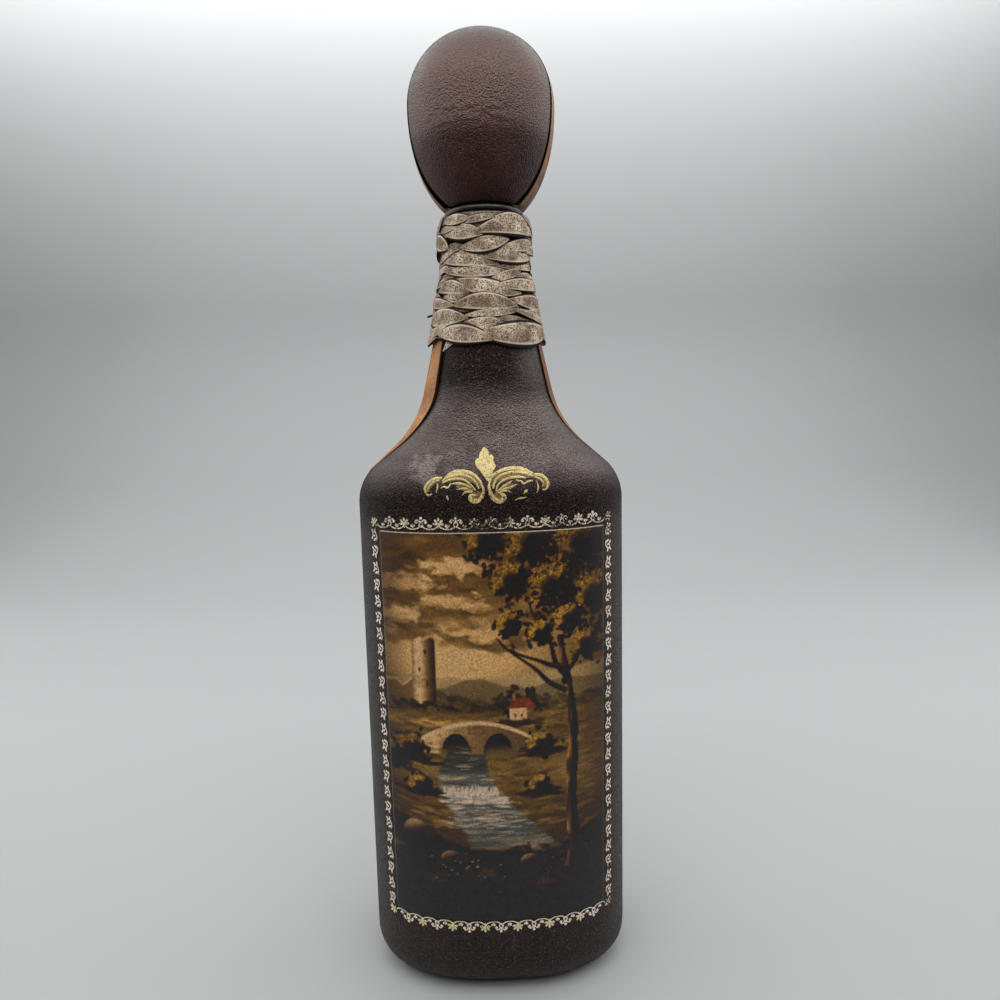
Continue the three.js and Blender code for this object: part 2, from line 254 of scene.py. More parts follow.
# Sections at heights, as rows of height, half-width, half-depth and squareness.
def wallSections(heights, offset):
    heights = np.asarray(heights, float)
    step = 0.005
    sizes = []
    for sizeAt in (halfWidthAt, halfDepthAt):
        lean = (sizeAt(heights + step) - sizeAt(heights - step)) / (2 * step)
        sizes.append(sizeAt(heights) + offset * np.hypot(1, lean))
    share = smoothBetween(heights, bottle["bodyTop"], neckFootHeight)
    return np.stack([heights, *sizes, bottle["squareness"] + (2 - bottle["squareness"]) * share], -1)


def heelSections(angles, offset, rise=0.0):
    inset = (bottle["heel"] + offset) * np.sin(angles) - bottle["heel"]
    heights = bottle["heel"] - (bottle["heel"] + offset) * np.cos(angles) + rise
    square = np.full_like(angles, bottle["squareness"])
    return np.stack([heights, bottle["halfWidth"] + inset, bottle["halfDepth"] + inset, square], -1)


def ovalPoints(sections, angles):
    height, width, depth, square = np.moveaxis(sections, -1, 0)[..., None]
    cosine, sine = np.cos(angles), np.sin(angles)
    x = width * np.sign(cosine) * np.abs(cosine) ** (2 / square)
    y = depth * np.sign(sine) * np.abs(sine) ** (2 / square)
    return np.stack([x, y, np.broadcast_to(height, x.shape)], -1)


# Lengthwise stations of the wrap: close together on the heel and where the shoulder is creased.
heelAngles = np.linspace(0, math.pi / 2, 16)
wallHeights = np.concatenate([
    np.linspace(bottle["heel"], bottle["bodyTop"], 150)[1:],
    np.linspace(bottle["bodyTop"], neckFootHeight, 110)[1:],
    np.linspace(neckFootHeight, coverTop, 64)[1:],
])


def wrapSections(offset):
    return np.concatenate([heelSections(heelAngles, offset), wallSections(wallHeights, offset)])


# How far the glued leather stands up from its even thickness: slow swells where it isn't quite tight,
# creases across the shoulder where it was pulled in to the neck, and puckers where it turns under the heel.
# Each has its height, the size of its lumps, and scales of x, y and z that draw them out where below 1.
looseLeather = {
    "swell": (0.10, 19.0, (1, 1, 1)),
    "drift": (2.2, 9.0, (1, 1, 1)),
    "crease": (0.10, 1.9, (0.11, 0.11, 1)),
    "fineCrease": (0.05, 0.9, (0.2, 0.2, 1)),
    "pucker": (0.24, 7.0, (1, 1, 0.4)),
}


def lumps(kind, points):
    rise, size, stretch = looseLeather[kind]
    return rise * softNoise(points * np.array(stretch), size)


def leatherSwell(points):
    height = points[..., 2]
    creased = smoothBetween(height, 168, 181) * (1 - smoothBetween(height, 204, 213))
    gathered = smoothBetween(height, 0.5, 4) * (1 - smoothBetween(height, 8, 16))
    drifted = points + lumps("drift", points)[..., None] * np.array([0, 0, 1])
    creases = lumps("crease", drifted) + lumps("fineCrease", drifted)
    return lumps("swell", points) + creased * creases + gathered * lumps("pucker", points)


# Front cover points from x and height, at a rise above the leather's face.
def onFrontCover(x, height, rise):
    sections = wallSections(height, coverFace)
    width, square = sections[..., 1], sections[..., 3]
    cosine = np.sign(x) * np.clip(np.abs(x) / width, 0, 1) ** (square / 2)
    angles = -np.arccos(cosine)[..., None]
    ground = ovalPoints(wallSections(height, 0), angles)[..., 0, :]
    growth = ovalPoints(wallSections(height, 1), angles)[..., 0, :] - ground
    amount = coverFace + leatherSwell(ground) + rise
    return ground + growth * np.asarray(amount)[..., None] + upwards


print("form: bottle", round(bottleHeight, 2), "mm to the lip")


# Grained leather: dye in clouds, specks (wax in the pores on most hides, painted glints on the dark calf),
# dark valleys between the pebbles of the grain, and worn, polished or dark-edged places from the piece's own
# attributes;
# the dark edges are edge dye with painted shade. Sizes are in millimetres.
def leatherMaterial(name, look):
    material, tree = newMaterial(name)
    place = addNode(tree, "ShaderNodeTexCoord").outputs["Object"]
    mottle = addNode(tree, "ShaderNodeTexNoise", {
        "Vector": place, "Scale": 1 / (look["mottleSize"] * mm), "Detail": 5.0, "Roughness": 0.62,
    }).outputs[0]
    speck = addNode(tree, "ShaderNodeTexNoise", {
        "Vector": place, "Scale": 1 / (look["speckSize"] * mm), "Detail": 3.0, "Roughness": 0.7,
    }).outputs[0]
    worn = addNode(tree, "ShaderNodeAttribute", settings={"attribute_name": "worn"}).outputs["Fac"]
    rubbed = addNode(tree, "ShaderNodeMath", {0: worn, 1: speck}, {"operation": "MULTIPLY"}).outputs[0]
    grain = addNode(tree, "ShaderNodeTexVoronoi", {
        "Vector": place, "Scale": 1 / (look["grainSize"] * mm), "Randomness": 1.0,
    }, {"feature": "SMOOTH_F1"}).outputs["Distance"]
    shares = {}
    colour = srgb(look["deep"])
    for label, pattern, low, high, most, tint in (
        ("face", mottle, 0.34, 0.66, 1.0, look["face"]),
        ("speck", speck, 0.55, 0.65, look["speckShare"], look["speck"]),
        ("worn", rubbed, 0.25, 0.5, 0.85, look["worn"]),
        ("valley", grain, 0.35, 0.65, look["valley"], look["edge"]),
    ):
        shares[label] = addNode(tree, "ShaderNodeMapRange", {
            "Value": pattern, "From Min": low, "From Max": high, "To Min": 0.0, "To Max": most,
        }).outputs[0]
        colour = addNode(tree, "ShaderNodeMix", {
            0: shares[label], 6: colour, 7: srgb(tint),
        }, {"data_type": "RGBA"}).outputs[2]
    # Dark along the cut edges from the piece's own attribute: edge dye, with painted shade where the band is
    # widened
    inside = addNode(tree, "ShaderNodeAttribute", settings={"attribute_name": "inside"}).outputs["Fac"]
    colour = addNode(tree, "ShaderNodeMix", {
        0: inside, 6: srgb(look["edge"]), 7: colour,
    }, {"data_type": "RGBA"}).outputs[2]
    pebbles = addNode(tree, "ShaderNodeBump", {
        "Height": grain, "Strength": look["grainStrength"], "Distance": 0.4 * mm,
    }, {"invert": True}).outputs[0]
    pores = addNode(tree, "ShaderNodeBump", {
        "Height": speck, "Strength": look["grainStrength"], "Distance": 0.15 * mm, "Normal": pebbles,
    }).outputs[0]
    rough = addNode(tree, "ShaderNodeMapRange", {
        "Value": mottle, "From Min": 0.3, "From Max": 0.7,
        "To Min": look["roughness"] - 0.06, "To Max": look["roughness"] + 0.06,
    }).outputs[0]
    rough = addNode(tree, "ShaderNodeMath", {
        0: shares["worn"], 1: 0.12, 2: rough,
    }, {"operation": "MULTIPLY_ADD"}).outputs[0]
    polish = addNode(tree, "ShaderNodeAttribute", settings={"attribute_name": "polish"}).outputs["Fac"]
    facing = addNode(tree, "ShaderNodeLayerWeight", {"Blend": 0.5}).outputs["Facing"]
    gloss = addNode(tree, "ShaderNodeMapRange", {
        "Value": facing, "From Min": 0.58, "From Max": 0.86,
        "To Min": look["gloss"], "To Max": 0.12 * look["gloss"],
    }).outputs[0]
    gloss = addNode(tree, "ShaderNodeMath", {0: polish, 1: gloss}, {"operation": "MULTIPLY"}).outputs[0]
    surface = addNode(tree, "ShaderNodeBsdfPrincipled", {
        "Base Color": colour, "Roughness": rough, "Normal": pores, "Specular IOR Level": gloss,
        "Specular Tint": srgb(look["sheen"]),
    }).outputs[0]
    addNode(tree, "ShaderNodeOutputMaterial", {"Surface": surface})
    return material


# Dark calf with brown wax: nearly black with a red-brown cast, and a broad warm sheen where it faces the
# light. Its pale specks are painted glints on the pebbles. Its grain is about 0.4 mm and is drawn coarser,
# so that it still shows at this distance.
coverLeather = leatherMaterial("darkCalfLeather", {
    "deep": "#130e0d", "face": "#251a18", "mottleSize": 14.0, "speck": "#6b5c57", "speckSize": 0.55,
    "speckShare": 0.75, "worn": "#7d7470", "edge": "#080505", "grainSize": 0.45, "grainStrength": 1.35,
    "valley": 0.75, "roughness": 0.3, "gloss": 0.85, "sheen": "#ffe6de",
})
# The same calf stretched over the stopper: smoother, and redder where the wax is thin.
knobCalf = leatherMaterial("stretchedCalfLeather", {
    "deep": "#170a0b", "face": "#361719", "mottleSize": 11.0, "speck": "#5f4642", "speckSize": 0.55,
    "speckShare": 0.55, "worn": "#4f413c", "edge": "#080404", "grainSize": 0.44, "grainStrength": 0.9,
    "valley": 0.5, "roughness": 0.36, "gloss": 0.9, "sheen": "#ffdacb",
})
# Tan vegetable-dyed hide: warm orange-brown, duller, darkened by handling.
stripLeather = leatherMaterial("tanHide", {
    "deep": "#87572f", "face": "#bb8658", "mottleSize": 9.0, "speck": "#643a1d", "speckSize": 0.9,
    "speckShare": 0.5, "worn": "#6b4a40", "edge": "#2c1710", "grainSize": 0.9, "grainStrength": 0.4,
    "valley": 0.15, "roughness": 0.55, "gloss": 0.3, "sheen": "#ffffff",
})
# The same hide on the stopper, painted greyer for the reflection it shows.
bandLeather = leatherMaterial("handledTanHide", {
    "deep": "#6f5040", "face": "#a98468", "mottleSize": 9.0, "speck": "#4d3224", "speckSize": 0.9,
    "speckShare": 0.5, "worn": "#6a5548", "edge": "#241510", "grainSize": 0.9, "grainStrength": 0.4,
    "valley": 0.2, "roughness": 0.5, "gloss": 0.45, "sheen": "#ffffff",
})
# Flesh side of the same dark hide: dull and fibrous.
padLeather = leatherMaterial("darkSplitLeather", {
    "deep": "#171110", "face": "#241a18", "mottleSize": 8.0, "speck": "#3a2e2a", "speckSize": 0.6,
    "speckShare": 0.6, "worn": "#3a2e2a", "edge": "#171110", "grainSize": 0.6, "grainStrength": 0.6,
    "valley": 0.3, "roughness": 0.85, "gloss": 0.2, "sheen": "#ffffff",
})
# Burnished leather ring: close to black and shinier than the covers.
collarLeather = leatherMaterial("burnishedLeather", {
    "deep": "#100c0d", "face": "#1c1516", "mottleSize": 6.0, "speck": "#2c2322", "speckSize": 0.8,
    "speckShare": 0.4, "worn": "#2c2322", "edge": "#0c0909", "grainSize": 0.7, "grainStrength": 0.12,
    "valley": 0.2, "roughness": 0.28, "gloss": 0.55, "sheen": "#ffffff",
})


# Taupe leather rubbed with dark wax: pale cut edges, brown specks in the pores, and painted shade along each
# strand's rim and where a strand lies under the weave.
def plaitMaterial():
    material, tree = newMaterial("antiquedTaupeLeather")
    place = addNode(tree, "ShaderNodeTexCoord").outputs["Object"]
    patch = addNode(tree, "ShaderNodeTexNoise", {
        "Vector": place, "Scale": 1 / (5.0 * mm), "Detail": 3.0,
    }).outputs[0]
    speck = addNode(tree, "ShaderNodeTexNoise", {
        "Vector": place, "Scale": 1 / (0.5 * mm), "Detail": 4.0, "Roughness": 0.75,
    }).outputs[0]
    across = addNode(tree, "ShaderNodeAttribute", settings={"attribute_name": "across"}).outputs["Fac"]
    colour = srgb("#7f6650")
    for pattern, low, high, most, tint in (
        (patch, 0.35, 0.65, 1.0, "#d6c2a8"), (speck, 0.48, 0.56, 0.95, "#37271a"),
        # Pale cut edges, then a painted shadow along the strand's rim
        (across, 0.58, 0.7, 0.55, "#e9dac4"), (across, 0.73, 0.81, 0.97, "#130b07"),
    ):
        share = addNode(tree, "ShaderNodeMapRange", {
            "Value": pattern, "From Min": low, "From Max": high, "To Min": 0.0, "To Max": most,
        }).outputs[0]
        colour = addNode(tree, "ShaderNodeMix", {
            0: share, 6: colour, 7: srgb(tint),
        }, {"data_type": "RGBA"}).outputs[2]
    gloss = addNode(tree, "ShaderNodeMapRange", {
        "Value": across, "From Min": 0.68, "From Max": 0.83, "To Min": 0.28, "To Max": 0.03,
    }).outputs[0]
    # Painted shade where a strand lies low or dives under its neighbours, and on the thong and lip strand
    sunk = addNode(tree, "ShaderNodeAttribute", settings={"attribute_name": "sunk"}).outputs["Fac"]
    colour = addNode(tree, "ShaderNodeMix", {
        0: sunk, 6: colour, 7: srgb("#33231a"),
    }, {"data_type": "RGBA"}).outputs[2]
    bump = addNode(tree, "ShaderNodeBump", {
        "Height": speck, "Strength": 0.7, "Distance": 0.25 * mm,
    }, {"invert": True}).outputs[0]
    surface = addNode(tree, "ShaderNodeBsdfPrincipled", {
        "Base Color": colour, "Roughness": 0.62, "Normal": bump, "Specular IOR Level": gloss,
    }).outputs[0]
    addNode(tree, "ShaderNodeOutputMaterial", {"Surface": surface})
    return material


# Gold foil pressed into the leather: bright and warm, broken where it has rubbed off to the dark hide.
def foilMaterial():
    material, tree = newMaterial("goldFoil")
    place = addNode(tree, "ShaderNodeTexCoord").outputs["Object"]
    tint = addNode(tree, "ShaderNodeTexNoise", {
        "Vector": place, "Scale": 1 / (7.0 * mm), "Detail": 2.0,
    }).outputs[0]
    gold = addNode(tree, "ShaderNodeMix", {
        0: tint, 6: srgb("#d3b86a"), 7: srgb("#f3e7a6"),
    }, {"data_type": "RGBA"}).outputs[2]
    for label, text in (("pale", "#f8e9df"), ("brown", "#896436")):
        share = addNode(tree, "ShaderNodeAttribute", settings={"attribute_name": label}).outputs["Fac"]
        gold = addNode(tree, "ShaderNodeMix", {
            0: share, 6: gold, 7: srgb(text),
        }, {"data_type": "RGBA"}).outputs[2]
    speck = addNode(tree, "ShaderNodeTexNoise", {
        "Vector": place, "Scale": 1 / (0.55 * mm), "Detail": 4.0, "Roughness": 0.7,
    }).outputs[0]
    wear = addNode(tree, "ShaderNodeAttribute", settings={"attribute_name": "wear"}).outputs["Fac"]
    lost = addNode(tree, "ShaderNodeMath", {0: speck, 1: wear}, {"operation": "ADD"}).outputs[0]
    lost = addNode(tree, "ShaderNodeMapRange", {
        "Value": lost, "From Min": 0.58, "From Max": 0.7, "To Min": 0.0, "To Max": 1.0,
    }).outputs[0]
    colour = addNode(tree, "ShaderNodeMix", {
        0: lost, 6: gold, 7: srgb("#2a1a16"),
    }, {"data_type": "RGBA"}).outputs[2]
    metal = addNode(tree, "ShaderNodeMapRange", {
        "Value": lost, "From Min": 0.0, "From Max": 1.0, "To Min": 0.18, "To Max": 0.0,
    }).outputs[0]
    bump = addNode(tree, "ShaderNodeBump", {
        "Height": speck, "Strength": 0.5, "Distance": 0.15 * mm,
    }).outputs[0]
    surface = addNode(tree, "ShaderNodeBsdfPrincipled", {
        "Base Color": colour, "Metallic": metal, "Roughness": 0.4, "Normal": bump,
    }).outputs[0]
    addNode(tree, "ShaderNodeOutputMaterial", {"Surface": surface})
    return material


# Varnished print on paper: the picture's own colours under a thin uneven gloss.
def printMaterial():
    material, tree = newMaterial("varnishedPrint")
    place = addNode(tree, "ShaderNodeTexCoord").outputs["Object"]
    colour = addNode(tree, "ShaderNodeAttribute", settings={"attribute_name": "paint"}).outputs["Color"]
    grain = addNode(tree, "ShaderNodeTexNoise", {
        "Vector": place, "Scale": 1 / (0.6 * mm), "Detail": 3.0, "Roughness": 0.7,
    }).outputs[0]
    shade = addNode(tree, "ShaderNodeMapRange", {
        "Value": grain, "From Min": 0.34, "From Max": 0.66, "To Min": 0.6, "To Max": 1.4,
    }).outputs[0]
    colour = addNode(tree, "ShaderNodeVectorMath", {0: colour, 3: shade}, {"operation": "SCALE"}).outputs[0]
    bump = addNode(tree, "ShaderNodeBump", {
        "Height": grain, "Strength": 0.35, "Distance": 0.08 * mm,
    }).outputs[0]
    surface = addNode(tree, "ShaderNodeBsdfPrincipled", {
        "Base Color": colour, "Roughness": 0.46, "Normal": bump, "Specular IOR Level": 0.4,
    }).outputs[0]
    addNode(tree, "ShaderNodeOutputMaterial", {"Surface": surface})
    return material


# Clear bottle glass with a faint green cast at the lip.
def glassMaterial():
    material, tree = newMaterial("bottleGlass")
    surface = addNode(tree, "ShaderNodeBsdfPrincipled", {
        "Base Color": srgb("#dfeee4"), "Roughness": 0.04, "IOR": 1.5, "Transmission Weight": 1.0,
    }).outputs[0]
    addNode(tree, "ShaderNodeOutputMaterial", {"Surface": surface})
    return material


# Natural cork: warm tan with dark pits and pale flecks.
def corkMaterial():
    material, tree = newMaterial("naturalCork")
    place = addNode(tree, "ShaderNodeTexCoord").outputs["Object"]
    body = addNode(tree, "ShaderNodeTexNoise", {
        "Vector": place, "Scale": 1 / (2.5 * mm), "Detail": 4.0,
    }).outputs[0]
    colour = addNode(tree, "ShaderNodeMix", {
        0: body, 6: srgb("#a9793f"), 7: srgb("#d3a869"),
    }, {"data_type": "RGBA"}).outputs[2]
    cells = addNode(tree, "ShaderNodeTexVoronoi", {
        "Vector": place, "Scale": 1 / (2.2 * mm),
    }).outputs["Distance"]
    pits = addNode(tree, "ShaderNodeMapRange", {
        "Value": cells, "From Min": 0.12, "From Max": 0.3, "To Min": 0.85, "To Max": 0.0,
    }).outputs[0]
    colour = addNode(tree, "ShaderNodeMix", {
        0: pits, 6: colour, 7: srgb("#55341a"),
    }, {"data_type": "RGBA"}).outputs[2]
    bump = addNode(tree, "ShaderNodeBump", {
        "Height": pits, "Strength": 0.7, "Distance": 0.25 * mm,
    }, {"invert": True}).outputs[0]
    surface = addNode(tree, "ShaderNodeBsdfPrincipled", {
        "Base Color": colour, "Roughness": 0.85, "Normal": bump, "Specular IOR Level": 0.25,
    }).outputs[0]
    addNode(tree, "ShaderNodeOutputMaterial", {"Surface": surface})
    return material


# Turned softwood: pale with rings stretched along the grain.
def woodMaterial():
    material, tree = newMaterial("turnedPine")
    place = addNode(tree, "ShaderNodeTexCoord").outputs["Object"]
    rings = addNode(tree, "ShaderNodeTexWave", {
        "Vector": place, "Scale": 1 / (14.0 * mm), "Distortion": 3.0, "Detail": 2.0,
    }, {"wave_type": "RINGS", "rings_direction": "Z"}).outputs[1]
    colour = addNode(tree, "ShaderNodeMix", {
        0: rings, 6: srgb("#b98f5c"), 7: srgb("#d9b683"),
    }, {"data_type": "RGBA"}).outputs[2]
    surface = addNode(tree, "ShaderNodeBsdfPrincipled", {
        "Base Color": colour, "Roughness": 0.7,
    }).outputs[0]
    addNode(tree, "ShaderNodeOutputMaterial", {"Surface": surface})
    return material


# Waxed thread: close to black, with a dull shine.
def threadMaterial():
    material, tree = newMaterial("waxedThread")
    surface = addNode(tree, "ShaderNodeBsdfPrincipled", {
        "Base Color": srgb("#14100e"), "Roughness": 0.5, "Specular IOR Level": 0.3,
    }).outputs[0]
    addNode(tree, "ShaderNodeOutputMaterial", {"Surface": surface})
    return material


plaitLeather = plaitMaterial()
goldFoil = foilMaterial()
picturePrint = printMaterial()
bottleGlass = glassMaterial()
naturalCork = corkMaterial()
turnedPine = woodMaterial()
waxedThread = threadMaterial()
print("materials:", len(bpy.data.materials))


# Leather wrap on the bottle: two covers and two strips, cut along the seams at the sides. The strips widen
# and the seams turn on the neck.
seams = {"half": 6.0, "neckGain": 5.3, "neckTurn": math.radians(6.5)}


def seamAngles(sections, side, ahead, inset):
    height, _, depth, square = np.moveaxis(sections, -1, 0)
    share = smoothBetween(height, bottle["bodyTop"], neckFootHeight)
    half = (seams["half"] + seams["neckGain"] * share) * neckRadiusAt(height) / bottle["neckFoot"] + inset
    turn = seams["neckTurn"] * share
    return side * math.pi + ahead * np.arcsin((half / depth) ** (square / 2)) + turn


gluedMargin = 3.0  # the leather lies flat this near to a seam


def wrapPiece(part, material):
    glass = wrapSections(0)
    first = seamAngles(glass, *part["fromSeam"])
    last = seamAngles(glass, *part["toSeam"])
    span = last - first
    # Columns are spread along a section of the body, and crowd towards the seams
    reference = 60
    dense = np.linspace(0, 1, 3000)
    trial = ovalPoints(glass[reference:reference + 1], first[reference] + span[reference] * dense)[0]
    run = runAlong(trial)
    share = np.interp(crowded(part["columns"], 0.55) * run[-1], run, dense)
    angles = first[:, None] + span[:, None] * share
    ground = ovalPoints(glass, angles)
    growth = ovalPoints(wrapSections(1.0), angles) - ground
    steps = np.linalg.norm(np.diff(ground, axis=1), axis=-1)
    along = np.concatenate([np.zeros((len(ground), 1)), np.cumsum(steps, axis=1)], axis=1)
    distance = np.minimum(along, along[:, -1:] - along)
    offset = bottle["glueLine"] + part["thickness"] * roundEdge(distance, part["edgeRound"])
    offset = offset + leatherSwell(ground) * np.clip(distance / gluedMargin, 0, 1) * part["swell"]
    points = ground + growth * offset[..., None] + upwards
    mesh = meshFrom(part["name"], points, gridFaces(*points.shape[:2]))
    # Dark along each cut edge: edge dye, with painted shade where the band is widened on the covers
    inside = smoothBetween(distance, 0.35 * part["edgeDyeAndShade"], part["edgeDyeAndShade"])
    addValues(mesh, "inside", inside)
    addValues(mesh, "polish", inside * part["polish"](ground))
    addValues(mesh, "worn", part["worn"](ground))
    return placePiece(part, mesh, material)


# Scuffs where the cover has been rubbed grey: a patch beside the crest, a little on the heel, and faint
# clouds all over.
scuffs = {"place": (-17, 177), "half": (7, 6), "patch": 2.4, "heel": 0.5, "clouds": 0.25}


def coverScuffs(points):
    x, y, height = np.moveaxis(points, -1, 0)
    across = (x - scuffs["place"][0]) / scuffs["half"][0]
    up = (height - scuffs["place"][1]) / scuffs["half"][1]
    patch = np.exp(-(across ** 2 + up ** 2)) * (y < 0) * scuffs["patch"]
    heel = scuffs["heel"] * (1 - smoothBetween(height, 2, 12))
    broken = 0.45 + 0.6 * softNoise(points, 2.2)
    return (patch + heel) * broken + scuffs["clouds"] * softPatches(points, 11.0)


# Hands have polished the shoulder, most in the middle and to the right, and the right side of the neck. The
# rest of the neck and the body are duller.
handPolish = {"everywhere": 0.1, "body": 0.26, "shoulder": 1.25, "neckSide": 0.6}


def coverPolish(points):
    x, height = points[..., 0], points[..., 2]
    body = 1 - smoothBetween(height, 152, 164)
    shoulder = smoothBetween(height, 167, 179) * (1 - smoothBetween(height, 193, 205))
    shoulder = shoulder * (1 + 0.3 * softNoise(points + 70, 5.0))
    shoulder = shoulder * (0.95 + 0.36 * np.exp(-((x - 2) / 14) ** 2) + 0.15 * np.clip(x / 25, -1, 1))
    neckSide = smoothBetween(height, 200, 206) * smoothBetween(x, 5, 14)
    places = {"everywhere": 1, "body": body, "shoulder": shoulder, "neckSide": neckSide}
    return sum(handPolish[label] * share for label, share in places.items())


def stripPolish(points):
    return np.ones(points.shape[:-1])


# Handling has darkened the strips towards the foot; the right strip is darker all the way up.
def stripDarkening(points):
    low = 1 - smoothBetween(points[..., 2], 40, 190)
    right = 0.95 * (points[..., 0] > 0)
    return np.clip(0.75 * low + right + 0.35 * softNoise(points, 12.0), 0, 1)


# The covers' dark edge band is wider than edge dye alone: painted shade on the cut edge's side
coverWrap = {
    "body": "bottle", "slot": "cover_leather", "thickness": bottle["cover"], "columns": 150,
    "edgeRound": 0.8, "edgeDyeAndShade": 3.0, "swell": 1.0, "worn": coverScuffs, "polish": coverPolish,
}
stripWrap = {
    "body": "bottle", "slot": "strip_leather", "thickness": 1.1, "columns": 36, "edgeRound": 0.35,
    "edgeDyeAndShade": 0.9, "swell": 0.5, "worn": stripDarkening, "polish": stripPolish,
}

# A seam is given by its side in half turns, ahead of that or behind it, and how far the edge keeps off it.
frontCoverPart = {
    **coverWrap, "name": "frontCover", "nodes": ["front_cover"],
    "fromSeam": (1, 1, 0.15), "toSeam": (2, -1, 0.15),
}
wrapPiece(frontCoverPart, coverLeather)

backCoverPart = {
    **coverWrap, "name": "backCover", "nodes": ["back_cover"],
    "fromSeam": (0, 1, 0.15), "toSeam": (1, -1, 0.15),
}
wrapPiece(backCoverPart, coverLeather)

leftStripPart = {
    **stripWrap, "name": "leftSideStrip", "nodes": ["left_side_strip"],
    "fromSeam": (1, -1, -0.15), "toSeam": (1, 1, -0.15),
}
wrapPiece(leftStripPart, stripLeather)

rightStripPart = {
    **stripWrap, "name": "rightSideStrip", "nodes": ["right_side_strip"],
    "fromSeam": (0, -1, -0.15), "toSeam": (0, 1, -0.15),
}
wrapPiece(rightStripPart, stripLeather)
print("wrap: covers and strips")


# Rings skinned into one closed mesh, with a fan at each end.
def ringMesh(name, rings):
    rows, columns = rings.shape[:2]
    points = np.concatenate([rings.reshape(-1, 3), rings[:1].mean(1), rings[-1:].mean(1)])
    around = np.arange(columns)
    after = (around + 1) % columns
    base = (rows - 1) * columns
    low = np.stack([after, around, np.full(columns, rows * columns)], -1).tolist()
    high = np.stack([base + around, base + after, np.full(columns, rows * columns + 1)], -1).tolist()
    return meshFrom(name, points, gridFaces(rows, columns, True) + low + high)


circle = np.linspace(0, 2 * math.pi, 96, endpoint=False)

basePadPart = {
    "name": "basePad", "body": "bottle", "nodes": ["base_pad"], "slot": "pad_leather",
    "thickness": 2.0, "gap": 0.3, "edgeRound": 0.5, "flatInset": 4.0,
}


def makeBasePad(part):
    bends = np.linspace(0, math.pi / 2, 6)
    shrink = part["edgeRound"] * (1 - np.sin(bends))
    heights = part["edgeRound"] * (1 - np.cos(bends))
    underside = (0.0, part["edgeRound"] + part["flatInset"])
    rows = [underside, *zip(heights, shrink), (part["thickness"], 0.0)]
    sections = np.array([
        (
            height - part["thickness"] - part["gap"],
            bottle["halfWidth"] - bottle["heel"] - part["gap"] - inset,
            bottle["halfDepth"] - bottle["heel"] - part["gap"] - inset,
            bottle["squareness"],
        )
        for height, inset in rows
    ])
    mesh = ringMesh(part["name"], ovalPoints(sections, circle[None]) + upwards)
    for label in ("inside", "polish"):
        addValues(mesh, label, np.ones(len(mesh.vertices)))
    return placePiece(part, mesh, padLeather)


makeBasePad(basePadPart)

glassPart = {
    "name": "glassBottle", "body": "bottle", "nodes": ["glass_bottle"], "slot": "bottle_glass",
    "wall": 2.4, "rimRound": 0.8, "boreTop": 1.0,
}


# One skin up the outside, over the rounded lip and down the inside.
def makeGlass(part):
    bends = np.linspace(0, math.pi / 2, 10)
    heights = np.concatenate([
        np.linspace(bottle["bodyTop"], neckFootHeight, 40),
        np.linspace(neckFootHeight, bottleHeight - bottle["lip"], 20)[1:],
    ])
    outside = np.concatenate([heelSections(bends, 0.0), wallSections(heights, 0.0)])
    lipBends = np.linspace(-math.pi / 2, math.pi / 2, 16)[1:-1]
    radius = bottle["neckTop"] + bottle["lipBulge"] * np.cos(lipBends)
    lipHeights = bottleHeight - bottle["lip"] / 2 * (1 - np.sin(lipBends))
    lip = np.stack([lipHeights, radius, radius, np.full_like(radius, 2.0)], -1)
    rimBends = np.linspace(0, math.pi / 2, 6)
    rimRadius = bottle["bore"] + part["rimRound"] * (1 - np.sin(rimBends))
    rimHeights = bottleHeight - part["rimRound"] * (1 - np.cos(rimBends))
    rim = np.stack([rimHeights, rimRadius, rimRadius, np.full_like(rimRadius, 2.0)], -1)
    inside = np.concatenate([
        heelSections(bends, -part["wall"], bottle["glassFloor"] - part["wall"]),
        wallSections(np.append(heights, bottleHeight - part["boreTop"]), -part["wall"]),
    ])
    sections = np.concatenate([outside, lip, rim, inside[::-1]])
    mesh = ringMesh(part["name"], ovalPoints(sections, circle[None]) + upwards)
    return placePiece(part, mesh, bottleGlass)


makeGlass(glassPart)
print("bottle: glass and pad")


# Stopper, in its own turned frame with heights above its seat
stopper = {
    "turn": math.radians(-7), "lipGap": 0.3, "collar": 2.6, "foot": 2.9, "tuckGap": 0.12,
    "girth": 24.3, "footRadius": 13.6, "footDrop": 31.3, "crownRise": 23.4, "fullness": 2.14,
    "bandHalf": 6.0, "tucked": [9.8, 11.5, 13.0, 13.45],  # radii of the leather under the foot
}
girthHeight = stopper["foot"] + stopper["footDrop"]
footShare = (stopper["footRadius"] / stopper["girth"]) ** (stopper["fullness"] / 2)
lowerHalf = stopper["footDrop"] / math.sqrt(1 - footShare ** 2) ** (2 / stopper["fullness"])
underFoot = stopper["foot"] - stopper["tuckGap"]
seatHeight = bottle["lift"] + bottleHeight + stopper["lipGap"]


def toStopper(points):
    cosine, sine = math.cos(stopper["turn"]), math.sin(stopper["turn"])
    x, y, z = np.moveaxis(np.asarray(points, float), -1, 0)
    return np.stack([x * cosine - y * sine, x * sine + y * cosine, z + seatHeight], -1)


# Outward directions on the egg, and straight down where the leather is tucked under its foot.
def knobNormals(points):
    radius = np.hypot(points[..., 0], points[..., 1])
    up = points[..., 2] - girthHeight
    half = np.where(up < 0, lowerHalf, stopper["crownRise"])
    power = stopper["fullness"] - 1
    outward = (radius / stopper["girth"]) ** power / stopper["girth"]
    upward = np.sign(up) * (np.abs(up) / half) ** power / half
    around = points[..., :2] / np.maximum(radius, 1e-6)[..., None]
    normals = np.concatenate([around * outward[..., None], upward[..., None]], -1)
    normals[points[..., 2] < stopper["foot"] - 0.05] = (0, 0, -1)
    return unit(normals)


